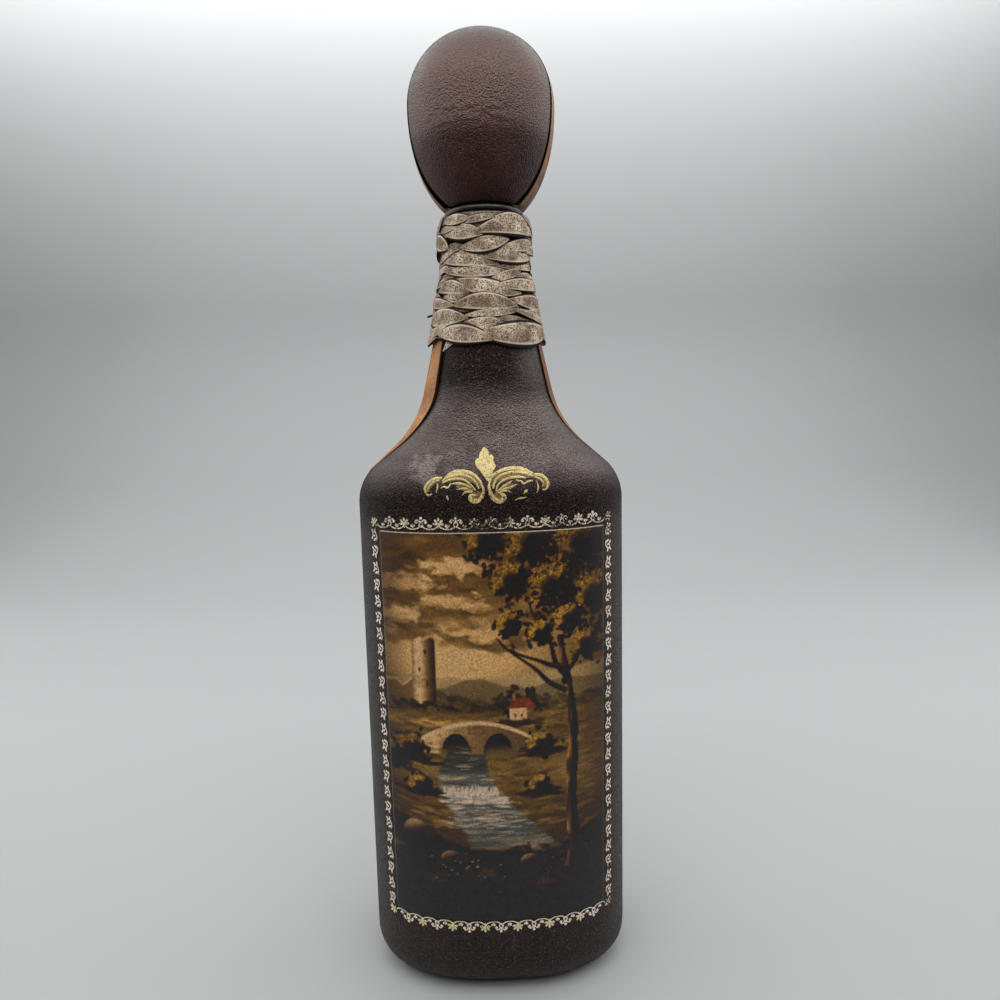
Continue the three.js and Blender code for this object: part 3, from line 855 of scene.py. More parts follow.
# Leather over the egg: rounded and dark at its seams, with slow swells, and fine wrinkles across the middle
# below the girth. The dark at the seams is edge dye with painted shade, and is widened as painted shade along
# the outline at the left and on the crown. The shine is strongest at the girth.
wrinkleBand = {"low": (20.5, 23), "high": (27, 29.5), "side": (8, 17), "drift": 1.4, "size": 0.8}


def knobLeather(part, points, distance, material):
    normals = knobNormals(points)
    x, height = points[..., 0], points[..., 2]
    wrinkled = smoothBetween(height, *wrinkleBand["low"])
    for value, ends in ((height, wrinkleBand["high"]), (np.abs(x + 1), wrinkleBand["side"])):
        wrinkled = wrinkled * (1 - smoothBetween(value, *ends))
    drift = points + wrinkleBand["drift"] * softNoise(points, 7.0)[..., None] * np.array([0, 0, 1])
    wrinkles = wrinkled * softNoise(drift * np.array([0.22, 0.22, 1.0]), wrinkleBand["size"])
    loose = part["swell"] * softNoise(points + 60, 13.0) + part["wrinkle"] * wrinkles
    full = roundEdge(distance, part["edgeRound"])
    offset = part["low"] + (part["high"] - part["low"]) * full
    offset = offset + loose * np.clip(distance / gluedMargin, 0, 1)
    faces = gridFaces(*points.shape[:2])
    mesh = meshFrom(part["name"], toStopper(points + normals * offset[..., None]), faces)
    # Painted shade: the dark edge band widens along the egg's outline at the left and on the crown
    left, top = smoothBetween(-x, 4, 14), smoothBetween(height, 44, 54)
    dark = part["edgeDyeAndShade"] + np.maximum(part["paintedShadeLeft"] * left, part["paintedShadeTop"] * top)
    inside = smoothBetween(distance, 0.7 * dark, dark)
    addValues(mesh, "inside", inside)
    shine = 0.36 + 0.84 * smoothBetween(height, 19, 27) - 0.42 * smoothBetween(height, 38, 50)
    addValues(mesh, "polish", inside * shine)
    addValues(mesh, "worn", part["worn"] * softPatches(points + 20, 9.0))
    return placePiece(part, mesh, material)


def knobCover(part):
    angles = np.linspace(-math.acos(footShare), math.pi / 2, 4000)
    half = np.where(angles < 0, lowerHalf, stopper["crownRise"])
    power = 2 / stopper["fullness"]
    radius = stopper["girth"] * np.cos(angles) ** power
    height = girthHeight + half * np.sign(angles) * np.abs(np.sin(angles)) ** power
    count = int(np.argmax((radius < stopper["bandHalf"]) & (angles > 0)))
    share = np.sin(np.linspace(0, math.pi / 2, part["rows"]))
    radius = np.interp(share, np.linspace(0, 1, count), radius[:count])
    height = np.interp(share, np.linspace(0, 1, count), height[:count])
    radius = np.concatenate([stopper["tucked"], radius])[:, None]
    height = np.concatenate([[underFoot] * len(stopper["tucked"]), height])[:, None]
    edge = np.arcsin(np.clip(stopper["bandHalf"] / radius, 0, 1))
    turns = -math.pi + edge + (math.pi - 2 * edge) * crowded(part["columns"], 0.6)
    points = aroundAxis(radius, turns, height)
    lean = np.sqrt(np.maximum(1 - knobNormals(points)[..., 1] ** 2, 0.02))
    distance = np.maximum(-points[..., 1] - stopper["bandHalf"], 0) / lean
    if part["behind"]:
        points = points * np.array([-1, -1, 1])
    return knobLeather(part, points, distance, knobCalf)


knobWrap = {
    "body": "stopper", "slot": "cover_leather", "rows": 230, "columns": 130, "low": -1.4, "high": 0.0,
    "edgeRound": 0.8, "edgeDyeAndShade": 2.5, "swell": 0.08, "wrinkle": 0.27, "worn": 0.3,
}

# The front cover's outline at the left and on the crown gets painted shade
knobFrontPart = {
    **knobWrap, "name": "knobFrontCover", "nodes": ["knob_front_cover"], "behind": False,
    "paintedShadeLeft": 2.2, "paintedShadeTop": 3.0,
}
knobCover(knobFrontPart)

knobBackPart = {
    **knobWrap, "name": "knobBackCover", "nodes": ["knob_back_cover"], "behind": True,
    "paintedShadeLeft": 0.0, "paintedShadeTop": 0.0,
}
knobCover(knobBackPart)

knobBandPart = {
    "name": "knobBand", "body": "stopper", "nodes": ["knob_band"], "slot": "strip_leather",
    "rows": 200, "columns": 36, "low": -1.4, "high": -0.3, "edgeRound": 0.35, "edgeDyeAndShade": 0.7,
    "paintedShadeLeft": 0.0, "paintedShadeTop": 0.0, "swell": 0.05, "wrinkle": 0.0, "worn": 0.5, "seamGap": 0.15,
}


# The band runs from foot to foot over the crown. Its points are found on the egg along rays from the
# middle, by halving the span that holds the surface.
def makeKnobBand(part):
    halfBand = stopper["bandHalf"] - part["seamGap"]
    y = halfBand * np.sin(np.linspace(-math.pi / 2, math.pi / 2, part["columns"]))[None]
    footAngle = np.arctan2(-stopper["footDrop"], np.sqrt(stopper["footRadius"] ** 2 - y ** 2))
    ray = footAngle + (math.pi - 2 * footAngle) * np.linspace(0, 1, part["rows"])[:, None]
    cosine, sine = np.cos(ray), np.sin(ray)
    half = np.where(sine < 0, lowerHalf, stopper["crownRise"])
    low, high = np.zeros_like(ray), np.full_like(ray, 40.0)  # no part of the egg is 40 mm away
    for _ in range(40):
        reach = (low + high) / 2
        total = (np.hypot(reach * cosine, y) / stopper["girth"]) ** stopper["fullness"]
        total = total + (reach * np.abs(sine) / half) ** stopper["fullness"]
        low, high = np.where(total < 1, reach, low), np.where(total < 1, high, reach)
    points = np.stack([reach * cosine, y + 0 * ray, girthHeight + reach * sine], -1)
    tucked = points[[0, -1]] * np.array([0.75, 1, 0]) + np.array([0, 0, underFoot])
    points = np.concatenate([tucked[:1], points, tucked[1:]])[:, ::-1]
    lean = np.sqrt(np.maximum(1 - knobNormals(points)[..., 1] ** 2, 0.02))
    distance = np.maximum(halfBand - np.abs(points[..., 1]), 0) / lean
    return knobLeather(part, points, distance, bandLeather)


makeKnobBand(knobBandPart)


# A closed ring or plug turned about the stopper's axis from a profile of radius and height.
def turnedPiece(part, profile, material):
    profile = np.asarray(profile, float)
    radius, height = profile[:, :1], profile[:, 1:]
    mesh = ringMesh(part["name"], toStopper(aroundAxis(radius, circle, height)))
    for label in ("inside", "polish"):
        addValues(mesh, label, np.ones(len(mesh.vertices)))
    return placePiece(part, mesh, material)


collarPart = {
    "name": "stopperCollar", "body": "stopper", "nodes": ["stopper_collar"], "slot": "cover_leather",
    "radius": 13.2, "hole": 9.2,
}
bends = np.linspace(-math.pi / 2, math.pi / 2, 20)
collarEdge = np.stack([
    collarPart["radius"] + stopper["collar"] / 2 * (np.cos(bends) - 1),
    stopper["collar"] / 2 * (1 + np.sin(bends)),
], -1)
collarProfile = [(collarPart["hole"], 0.02), *collarEdge, (collarPart["hole"], stopper["collar"] - 0.02)]
turnedPiece(collarPart, collarProfile, collarLeather)

corkPart = {
    "name": "corkPlug", "body": "stopper", "nodes": ["cork_plug"], "slot": "cork", "radius": 8.9,
    "taper": 0.6, "depth": 26.0, "top": 11.9, "chamfer": 0.8,
}
corkLow = corkPart["radius"] - corkPart["taper"]
corkProfile = [
    (corkLow - corkPart["chamfer"], -corkPart["depth"]),
    (corkLow - corkPart["chamfer"] * 0.3, -corkPart["depth"] + corkPart["chamfer"] * 0.3),
    (corkLow, -corkPart["depth"] + corkPart["chamfer"]),
    *[(corkLow + corkPart["taper"] * s, -corkPart["depth"] * (1 - s)) for s in np.linspace(0.1, 1, 12)],
    (corkPart["radius"], corkPart["top"]),
]
turnedPiece(corkPart, corkProfile, naturalCork)

# The wooden core is the solid itself, under the leather.
corePart = {"node": "knob_core", "slot": "knob_wood"}
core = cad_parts[corePart["node"]]
core.data.materials.clear()
core.data.materials.append(turnedPine)
print("stopper: knob, collar and cork")


# Picture on the front cover: a landscape of its own, with a tower, a bridge and a weir under an evening
# sky, in the brown, ochre and olive of an old varnished print. Places are shares of its width and height.
picturePart = {
    "name": "picturePanel", "body": "bottle", "nodes": ["picture_panel"], "slot": "picture_print",
    "halfWidths": (35.3, 36.05), "low": 26.4, "high": 156.8, "back": 1.72, "face": 2.4, "columns": 220,
    "rows": 397, "canvas": (72, 130), "seed": 23, "gain": 0.58,
}


# Painted with left and right changed over, and turned round before the edges are done.
def paintPicture(part):
    rng = np.random.default_rng(part["seed"])
    rows, columns = part["rows"], part["columns"]
    up = np.linspace(0, 1, rows)[:, None] + np.zeros((1, columns))
    right = np.linspace(0, 1, columns)[None] + np.zeros((rows, 1))
    canvas = np.zeros((rows, columns, 3))
    flat = np.stack([right * part["canvas"][0], up * part["canvas"][1], np.zeros_like(up)], -1)
    level = flat * np.array([1, 0, 0])

    def wash(mask, text):
        canvas[:] = canvas + (hexShares(text) - canvas) * np.clip(mask, 0, 1)[..., None]

    # One dab of a soft brush, with sizes in canvas steps.
    def dab(x, y, length, width, angle, colour, strength):
        reach = int(max(length, width)) + 2
        column, row = x * (columns - 1), y * (rows - 1)
        left, low = max(int(column) - reach, 0), max(int(row) - reach, 0)
        area = canvas[low:max(int(row) + reach + 1, 0), left:max(int(column) + reach + 1, 0)]
        if not area.size:
            return
        dy = np.arange(low, low + area.shape[0])[:, None] - row
        dx = np.arange(left, left + area.shape[1])[None] - column
        along = dx * math.cos(angle) + dy * math.sin(angle)
        beside = dy * math.cos(angle) - dx * math.sin(angle)
        mask = strength * np.clip(1.6 * (1 - (along / length) ** 2 - (beside / width) ** 2), 0, 1)
        area += (colour - area) * mask[..., None]

    def dabs(count, spot, length, width, angle, texts, strength=0.7, loose=0.35):
        for _ in range(count):
            x, y = spot()
            shade = hexShares(texts[rng.integers(len(texts))]) * rng.uniform(0.85, 1.15)
            size = rng.uniform(0.6, 1.4)
            dab(x, y, length * size, width * size, angle + rng.normal(0, loose), shade, strength)

    def within(x0, x1, y0, y1):
        return lambda: (rng.uniform(x0, x1), rng.uniform(y0, y1))

    def around(x, y, sx, sy):
        return lambda: (rng.normal(x, sx), rng.normal(y, sy))

    # Sky: olive gold, brightest low at the right, with long clouds lit from there
    wash(np.ones_like(up), "#725f38")
    wash(smoothBetween(up, 0.78, 1.0) * 0.35, "#42351f")
    wash(np.exp(-(((right - 0.7) / 0.45) ** 2 + ((up - 0.70) / 0.11) ** 2)), "#e2cd92")
    dabs(300, within(0.25, 1.0, 0.72, 0.99), 13, 4, 0.1, ["#7d6a40", "#93794a", "#54452b", "#665433"], 0.4)
    clouds = (
        (0.62, 0.91, 0.2), (0.86, 0.87, 0.16), (0.64, 0.82, 0.15), (0.92, 0.79, 0.1), (0.52, 0.745, 0.1),
    )
    shaded, lit = ["#6e5c38", "#7d6a43", "#5f5030"], ["#c9b27e", "#dcc896", "#a8905f"]
    for x, y, length in clouds:
        dabs(90, around(x, y - 0.010, length * 0.5, 0.010), 10, 3.2, 0.05, shaded, 0.5, 0.15)
        dabs(80, around(x + 0.02, y + 0.008, length * 0.45, 0.009), 7, 2.6, 0.1, lit, 0.5)
    # Hills, paler with distance
    for base, seed, text in ((0.648, 3, "#a89a70"), (0.62, 47, "#7b7252"), (0.588, 81, "#565039")):
        ridge = base + 0.03 * softNoise(level + seed, 15.0) + 0.008 * softNoise(level + seed, 3.0)
        wash(smoothBetween(ridge - up, 0, 0.008), text)
    dabs(260, within(0, 1, 0.54, 0.59), 6, 2, 0.15, ["#5f5638", "#463f2b", "#776a40", "#3a3424"], 0.6)
    # A ruined round tower on the right-hand hill, with a length of broken wall
    hillFoot = 0.555
    wallTop = 0.632 + 0.02 * softNoise(level + 3, 3.0) - 0.10 * np.clip(right - 0.86, 0, 1)
    wall = (right > 0.84) * smoothBetween(wallTop - up, 0, 0.006) * (up > hillFoot)
    wash(wall, "#7d6b47")
    wash(wall * smoothBetween(up - wallTop, -0.016, -0.006), "#cbb684")
    side = (right - 0.82) / 0.058
    crown = 0.742 + 0.010 * softNoise(level + 21, 1.8)
    tower = smoothBetween(1 - np.abs(side), 0, 0.14) * smoothBetween(crown - up, 0, 0.006) * (up > hillFoot)
    wash(tower, "#8f7a52")
    wash(tower * smoothBetween(-side, -0.1, 0.9), "#3d3222")
    wash(tower * np.exp(-((side - 0.4) / 0.38) ** 2), "#e4d2a2")
    wash(tower * softPatches(flat * np.array([0.7, 1.3, 1]) + 7, 1.5) * 0.55, "#5e4e34")
    for x, y in ((0.812, 0.705), (0.84, 0.66), (0.806, 0.625)):
        dab(x, y, 3.0, 1.3, math.pi / 2, hexShares("#211a12"), 1.0)
    scrub = ["#2c2617", "#3a331d", "#57491f", "#776437"]
    dabs(120, around(0.85, 0.563, 0.08, 0.008), 4, 2.2, 0.5, scrub, 0.8)
    # Meadows in bands of light and shade
    wash(smoothBetween(0.56 - up, 0, 0.015), "#6f5f38")
    wash(np.exp(-((up - 0.525) / 0.014) ** 2) * smoothBetween(right, 0.2, 0.8), "#bca566")
    wash(np.exp(-((up - 0.40) / 0.03) ** 2) * 0.8, "#8d7a48")
    wash(smoothBetween(0.36 - up, 0, 0.1) * 0.6, "#43361f")
    greens = ["#85713f", "#5f4f2c", "#9c864c", "#4a3d25", "#6e6136"]
    dabs(700, within(0, 1, 0.24, 0.55), 9, 1.7, 0.03, greens, 0.5, 0.15)
    # A cottage beside the tree: lit wall, shaded gable, tiled roof and chimney
    dabs(90, around(0.40, 0.575, 0.05, 0.016), 4, 2.6, 0.6, ["#2c2617", "#3a331d", "#4c421f"], 0.85, 0.8)
    cottage, eaves = 0.385, 0.561
    home = (np.abs(right - cottage) < 0.055) * (np.abs(up - 0.545) < 0.017)
    wash(home, "#d3bd8c")
    wash(home * (right < 0.362), "#6d5a3c")
    wash(home * softPatches(flat, 2.0) * 0.5, "#9c8458")
    slope = (0.07 - np.abs(right - cottage)) / 0.07
    roof = (slope > 0) * (up > eaves) * smoothBetween(eaves + 0.05 * np.minimum(slope, 0.55) - up, 0, 0.004)
    wash(roof, "#7d432c")
    wash(roof * softPatches(flat * np.array([2, 1, 1]), 1.4) * 0.7, "#a8683f")
    wash((np.abs(right - 0.42) < 0.008) * (np.abs(up - 0.592) < 0.009), "#8d7650")
    for x in (cottage, 0.415):
        dab(x, 0.543, 2.2, 1.2, math.pi / 2, hexShares("#2b2016"), 0.95)
    dabs(60, around(0.39, 0.525, 0.05, 0.004), 6, 1.4, 0.0, ["#3a3020", "#4a3d25"], 0.7, 0.1)
    # The river, winding down from the bridge, with the sky in it
    middle = 0.59 + 0.09 * np.sin((0.5 - up) * 14.0) - (0.5 - up) * 0.25
    breadth = 0.08 + (0.5 - up) * 0.42
    river = smoothBetween(breadth - np.abs(right - middle), 0, 0.025) * (up > 0.17) * (up < 0.5)
    wash(river, "#5f6660")
    wash(river * softPatches(flat * np.array([0.22, 2.0, 1]), 3.0), "#b3ad90")
    wash(river * smoothBetween(0.46 - up, -0.02, 0.02) * smoothBetween(up, 0.38, 0.42) * 0.75, "#39382e")
    wet = np.argwhere(river > 0.75) / np.array([rows - 1, columns - 1])

    def onWater():
        return wet[rng.integers(len(wet))][::-1]

    dabs(260, onWater, 8, 1.0, 0.0, ["#8e978f", "#3f4440", "#cfc8a6", "#6b7672", "#59656a"], 0.5, 0.05)
    # Stone bridge of two arches, lit from the right
    bridge, water = 0.59, 0.445
    deck = 0.533 - 0.7 * (right - bridge) ** 2
    face = smoothBetween(0.26 - np.abs(right - bridge), 0, 0.015) * smoothBetween(deck - up, 0, 0.005)
    face = face * (up > water)
    for arch in (0.495, 0.685):
        hollow = ((right - arch) / 0.068) ** 2 + ((up - water) / 0.055) ** 2
        wash((hollow < 1) * (up >= water) * smoothBetween(up, water, 0.48), "#2b2419")
        face = face * (hollow > 1)
    wash(face, "#8a7750")
    wash(face * smoothBetween(0.72 - right, 0, 0.4) * 0.6, "#4f4230")
    wash(face * smoothBetween(right, 0.57, 0.8) * 0.75, "#d3bf8e")
    wash(face * softPatches(flat * np.array([1, 1.7, 1]), 1.6) * 0.7, "#5d4e36")
    wash(face * smoothBetween(up - deck, -0.014, -0.008), "#efe0b4")
    # A weir below it, broken white, and foam drifting off
    foam = ["#f3ecd6", "#d9d6c4", "#b9bcb0"]
    dabs(150, within(0.5, 0.75, 0.335, 0.352), 4.5, 1.0, math.pi / 2, foam, 0.75, 0.12)
    dabs(110, within(0.46, 0.76, 0.315, 0.335), 6, 1.1, 0.0, ["#e9e2cb", "#c4c2ae", "#8f9890"], 0.6, 0.1)
    dabs(60, within(0.42, 0.74, 0.25, 0.31), 7, 0.9, 0.0, ["#b9b9a6", "#d9d2b6"], 0.45, 0.08)

    # Bushes along the banks, each with its shadow, dark leaves and a lit upper right side
    def foliage(x, y, wide, tall, count, texts):
        dabs(count, around(x, y, wide * 0.5, tall * 0.5), 3.4, 2.2, 0.7, texts[:3], 0.85, 0.9)
        for share, depth, size in ((0.7, 0.75, 2.6), (0.5, 0.95, 2.0), (0.2, 1.05, 1.5)):
            for _ in range(int(count * share)):
                lean = rng.uniform(-0.5, 2.1)
                reach = depth * rng.uniform(0.55, 1.1)
                spot = (x + wide * reach * math.cos(lean), y + tall * reach * math.sin(lean))
                pick = int(3 + rng.integers(2) + 2 * (depth > 0.9) + (depth > 1))
                shade = hexShares(texts[pick]) * rng.uniform(0.85, 1.1)
                dab(*spot, size * rng.uniform(0.7, 1.3), size * 0.65, 0.7 + rng.normal(0, 0.9), shade, 0.75)

    leafTones = [
        "#1d170e", "#2a2213", "#352c17", "#4c401d", "#5d4e25", "#857036", "#9d8440", "#c9aa5c", "#dcc17a",
    ]
    bushes = (
        (0.30, 0.47, 0.06), (0.90, 0.455, 0.07), (1.0, 0.43, 0.06), (0.86, 0.36, 0.05), (0.31, 0.36, 0.05),
    )
    shadow = ["#2c2416", "#3a301d"]
    for x, y, size in bushes:
        dabs(50, around(x - 0.01, y - size * 0.4, size * 0.8, 0.006), 8, 1.8, 0.0, shadow, 0.7, 0.1)
        foliage(x, y, size, size * 0.45, 130, leafTones)
    # Dark bank in front, with boulders, ferns and small flowers
    bank = 0.19 + 0.025 * softNoise(level + 9, 13.0) + 0.10 * smoothBetween(right, 0.6, 1.0)
    bank = bank + 0.06 * smoothBetween(0.32 - right, 0, 0.3)
    wash(smoothBetween(bank - up, 0, 0.012), "#2c231b")
    brow = np.exp(-((up - bank + 0.006) / 0.007) ** 2)
    wash(brow * np.clip(softNoise(flat + 13, 4.0) + 0.3, 0, 1), "#8a7443")
    dabs(480, within(0, 1, 0.0, 0.2), 8, 2.6, 0.5, ["#2b221b", "#1d1715", "#382b1f", "#30291f"], 0.6)
    boulders = (
        (0.87, 0.235, 0.085, 0.034), (0.72, 0.17, 0.06, 0.026),
        (0.97, 0.17, 0.07, 0.03), (0.36, 0.16, 0.05, 0.02),
    )
    for x, y, wide, tall in boulders:
        dx, dy = (right - x) / wide, (up - y) / tall
        rock = smoothBetween(1 + 0.25 * softNoise(flat + 3, 4.0) - np.hypot(dx, dy), 0, 0.2)
        wash(rock, "#43382b")
        wash(rock * smoothBetween(dx * 0.6 + dy, 0.0, 0.9), "#b5a077")
        wash(rock * smoothBetween(-dy, 0.0, 0.8), "#191310")
        wash(rock * softPatches(flat + 29, 1.8) * 0.5, "#5b4b35")
    ferns = ((0.12, 0.15, 15), (0.30, 0.09, 12), (0.56, 0.12, 12), (0.80, 0.10, 15), (0.93, 0.06, 12))
    for x, y, size in ferns:
        for lean in np.linspace(0.25, math.pi - 0.25, 17):
            reach = size * rng.uniform(0.7, 1.1)
            place = (x + 0.5 * reach * math.cos(lean) / columns, y + 0.5 * reach * math.sin(lean) / rows)
            frond = ("#6a5a2f", "#4c4024", "#857140")[rng.integers(3)]
            dab(*place, reach / 2, 1.1, lean, hexShares(frond), 0.75)
    dabs(30, around(0.22, 0.13, 0.09, 0.03), 1.4, 1.0, 0, ["#9a5231", "#b8703f", "#7d4229"], 0.8)
    dabs(22, around(0.66, 0.14, 0.10, 0.02), 1.3, 0.9, 0, ["#efe4c4", "#cdbf97"], 0.8)
    dabs(14, around(0.50, 0.08, 0.13, 0.02), 1.2, 0.9, 0, ["#8595a0", "#aab4b4"], 0.6)
    # The great tree at the left: trunk and boughs, then leaf masses lit from the right
    trunkFoot, trunkTop = 0.13, 0.74
    grow = np.clip((up - trunkFoot) / 0.6, 0, 1)
    stem = 0.125 + 0.07 * grow + 0.018 * np.sin(grow * 7.0)
    girth = 0.034 - 0.018 * grow + 0.05 * np.clip(0.1 - grow, 0, 1) / 0.1 * (1 - grow)
    girth = girth + 0.004 * softNoise(flat * np.array([0, 1, 0]), 3.0)
    across = (right - stem) / girth
    trunk = smoothBetween(1 - np.abs(across), 0, 0.15) * (up > trunkFoot) * (up < trunkTop)
    wash(trunk, "#2b2017")
    bark = np.clip(softNoise(flat * np.array([1.6, 0.3, 1]), 1.3) + 0.2, 0, 1)
    wash(trunk * smoothBetween(across, -0.3, 0.7) * (0.35 + 0.65 * bark), "#8f7047")
    wash(trunk * smoothBetween(across, 0.5, 0.9) * bark * 0.7, "#d0ae74")
    wash(trunk * smoothBetween(-across, 0.3, 0.9), "#120d0a")
    boughs = ((0.55, 0.34, 0.60), (1.05, 0.30, 0.64), (2.1, 0.2, 0.62), (0.15, 0.24, 0.66))
    for turn, far, base in boughs:
        for share in np.linspace(0, 1, 60):
            x = 0.19 + far * share * math.cos(turn) + 0.01 * math.sin(share * 9)
            y = base + far * 0.6 * share * math.sin(turn) + 0.03 * share ** 2
            dab(x, y, 3.5, 3.4 * (1 - 0.75 * share), turn, hexShares("#2b2119"), 0.9)
            dab(x, y + 0.003, 3, 0.9 * (1 - 0.5 * share), turn, hexShares("#9a7a4c"), 0.5)
    crowns = (
        (0.10, 0.96, 0.13), (0.32, 0.97, 0.12), (0.05, 0.83, 0.10), (0.24, 0.86, 0.11), (0.42, 0.88, 0.08),
        (0.53, 0.98, 0.08), (0.43, 0.775, 0.055), (0.09, 0.71, 0.065), (0.30, 0.75, 0.05), (0.17, 0.78, 0.06),
    )
    for x, y, size in crowns:
        foliage(x, y, size, size * 0.55, int(2600 * size), leafTones)
    # Varnish has gone brown, and nearly black towards the foot
    wash(0.6 * smoothBetween(0.3 - up, 0, 0.3), "#272223")
    wash(0.25 * softPatches(flat, 13.0), "#3a2d1c")
    wash(0.5 * smoothBetween(np.abs(right - 0.5), 0.3, 0.56), "#2a1d14")
    turned = canvas[:, ::-1]
    canvas = (0.28 + 1.5 * (turned - 0.3)) * np.array([1.05, 0.93, 0.9])
    canvas = canvas / np.maximum(1, canvas.max(-1, keepdims=True))
    # Dust in the varnish lifts the darks, most at the foot
    dust = 0.1 + 0.045 * smoothBetween(0.3 - up, 0, 0.2) + 0.03 * softNoise(flat, 1.2)
    canvas = np.maximum(canvas, dust[..., None] * np.array([1.06, 0.97, 0.97]))
    # Pale cut edge of the paper, clearest along the top and the left
    canvas[-1:] = hexShares("#cfc2a2")
    canvas[:, :1] = canvas[:, :1] * 0.4 + hexShares("#b5a685") * 0.6
    canvas[:1] = canvas[:1] * 0.7 + hexShares("#8d8066") * 0.3
    canvas[:, -1:] = canvas[:, -1:] * 0.5 + hexShares("#8d8066") * 0.5
    return np.clip(part["gain"] * toLinear(np.clip(canvas, 0, 1)), 0, 0.9)


def makePicture(part):
    paint = np.pad(paintPicture(part), ((1, 1), (1, 1), (0, 0)), mode="edge")
    heights = np.pad(np.linspace(part["low"], part["high"], part["rows"]), 1, mode="edge")
    half = np.interp(heights, [part["low"], part["high"]], part["halfWidths"])
    x = half[:, None] * np.pad(np.linspace(-1, 1, part["columns"]), 1, mode="edge")
    rise = np.full(x.shape, part["face"])
    rise[0] = rise[-1] = part["back"]
    rise[:, 0] = rise[:, -1] = part["back"]
    width = bottle["halfWidth"] + part["face"]
    angles = -np.arccos(np.sign(x) * (np.abs(x) / width) ** (bottle["squareness"] / 2))
    ground = ovalPoints(wallSections(heights, 0.0), angles)
    growth = ovalPoints(wallSections(heights, 1.0), angles) - ground
    points = ground + growth * rise[..., None] + upwards
    mesh = meshFrom(part["name"], points, gridFaces(*points.shape[:2]))
    attribute = mesh.attributes.new("paint", "FLOAT_COLOR", "POINT")
    opaque = np.concatenate([paint.reshape(-1, 3), np.ones((paint.shape[0] * paint.shape[1], 1))], 1)
    attribute.data.foreach_set("color", opaque.astype(np.float32).ravel())
    return placePiece(part, mesh, picturePrint)


makePicture(picturePart)
print("picture: painted")


# Gold tooling. Shapes are drawn flat in millimetres, with a raised middle line, and then laid on the cover.

def smoothLine(points, count):
    points = np.asarray(points, float)
    padded = np.concatenate([2 * points[:1] - points[1:2], points, 2 * points[-1:] - points[-2:-1]])
    spots = np.linspace(0, len(points) - 1 - 1e-6, count)
    i = spots.astype(int)
    t = (spots - i)[:, None]
    a, b, c, d = padded[i], padded[i + 1], padded[i + 2], padded[i + 3]
    bent = (2 * a - 5 * b + 4 * c - d) * t ** 2
    return 0.5 * (2 * b + (c - a) * t + bent + (3 * b - a - 3 * c + d) * t ** 3)


# A flat ribbon along a line, three points across, tapering at its ends as the widths say.
def ribbon(points, widths, count=10, crown=0.07):
    line = smoothLine(points, count)
    width = np.interp(np.linspace(0, 1, count), np.linspace(0, 1, len(widths)), widths)[:, None]
    slope = np.gradient(line, axis=0)
    slope = slope / np.maximum(np.linalg.norm(slope, axis=1, keepdims=True), 1e-9)
    side = np.stack([-slope[:, 1], slope[:, 0]], -1) * width / 2
    grid = np.stack([
        np.insert(row, 2, height, axis=1)
        for row, height in ((line - side, 0), (line, crown), (line + side, 0))
    ], 1)
    return grid.reshape(-1, 3), gridFaces(count, 3)


def disc(x, y, radius, count=9, crown=0.12):
    turns = np.linspace(0, 2 * math.pi, count, endpoint=False)
    ring = np.stack([x + radius * np.cos(turns), y + radius * np.sin(turns), 0 * turns], -1)
    faces = [(i, (i + 1) % count, count) for i in range(count)]
    return np.concatenate([ring, [[x, y, crown]]]), faces


def joined(shapes):
    points, faces, base = [], [], 0
    for shapePoints, shapeFaces in shapes:
        points.append(shapePoints)
        faces += [tuple(base + i for i in face) for face in shapeFaces]
        base += len(shapePoints)
    return np.concatenate(points), faces


borderPart = {
    "name": "goldBorder", "body": "bottle", "pitch": 5.5, "gap": 1.0, "rise": 0.07, "seed": 8,
    "turnJitter": 0.06, "fineness": 0.88,
    "wear": {"corner": 0.22, "patches": 0.16, "top": 0.11, "bottom": -0.05},
}


# A line of the border's fine tooling.
def stroke(points, widths, count):
    return ribbon(points, borderPart["fineness"] * np.array(widths), count)


# A fan of petals on a short stem.
def palmette():
    shapes = [stroke([(0, 0.4), (0, 1.6)], [0.4, 0.6], 4), disc(0, 1.6, 0.55)]
    for degrees, length in ((-80, 1.75), (-40, 2.05), (0, 2.25), (40, 2.05), (80, 1.75)):
        lean = math.radians(degrees)
        tip = (math.sin(lean) * length, 1.5 + math.cos(lean) * length)
        near = (math.sin(lean) * 0.5, 1.5 + math.cos(lean) * 0.5)
        shapes.append(stroke([near, tip], [0.25, 0.7, 0.95, 0.45], 6))
    return joined(shapes)


# A small loop with two curled arms that end in beads, and a bead at its tip.
def fleur():
    turns = np.linspace(-math.pi / 2, 1.5 * math.pi, 12)
    loop = [(0.6 * math.cos(t), 1.5 + 0.75 * math.sin(t)) for t in turns]
    shapes = [stroke(loop, [0.45], 16), disc(0, 3.5, 0.5), stroke([(0, 2.2), (0, 3.2)], [0.5, 0.45], 4)]
    for side in (-1, 1):
        arm = [(0.25 * side, 2.25), (0.8 * side, 2.9), (1.5 * side, 2.95), (1.7 * side, 2.45)]
        shapes += [stroke(arm, [0.45, 0.52, 0.45], 9), disc(1.6 * side, 2.3, 0.52)]
    return joined(shapes)


# A festoon between two motifs, with a bud inside it.
def festoon():
    arch = [(-2.65, 1.3), (-2.0, 0.55), (-1.05, 0.16), (0, 0.06), (1.05, 0.16), (2.0, 0.55), (2.65, 1.3)]
    stem, leaf = [(0, 0.3), (-0.1, 0.9)], [(0.1, 0.7), (0.6, 1.15), (0.55, 1.6)]
    return joined([
        stroke(arch, [0.38, 0.5, 0.4, 0.5, 0.38], 15), stroke(stem, [0.3, 0.36], 3),
        disc(-0.2, 1.15, 0.52), stroke(leaf, [0.36, 0.44, 0.2], 5),
    ])


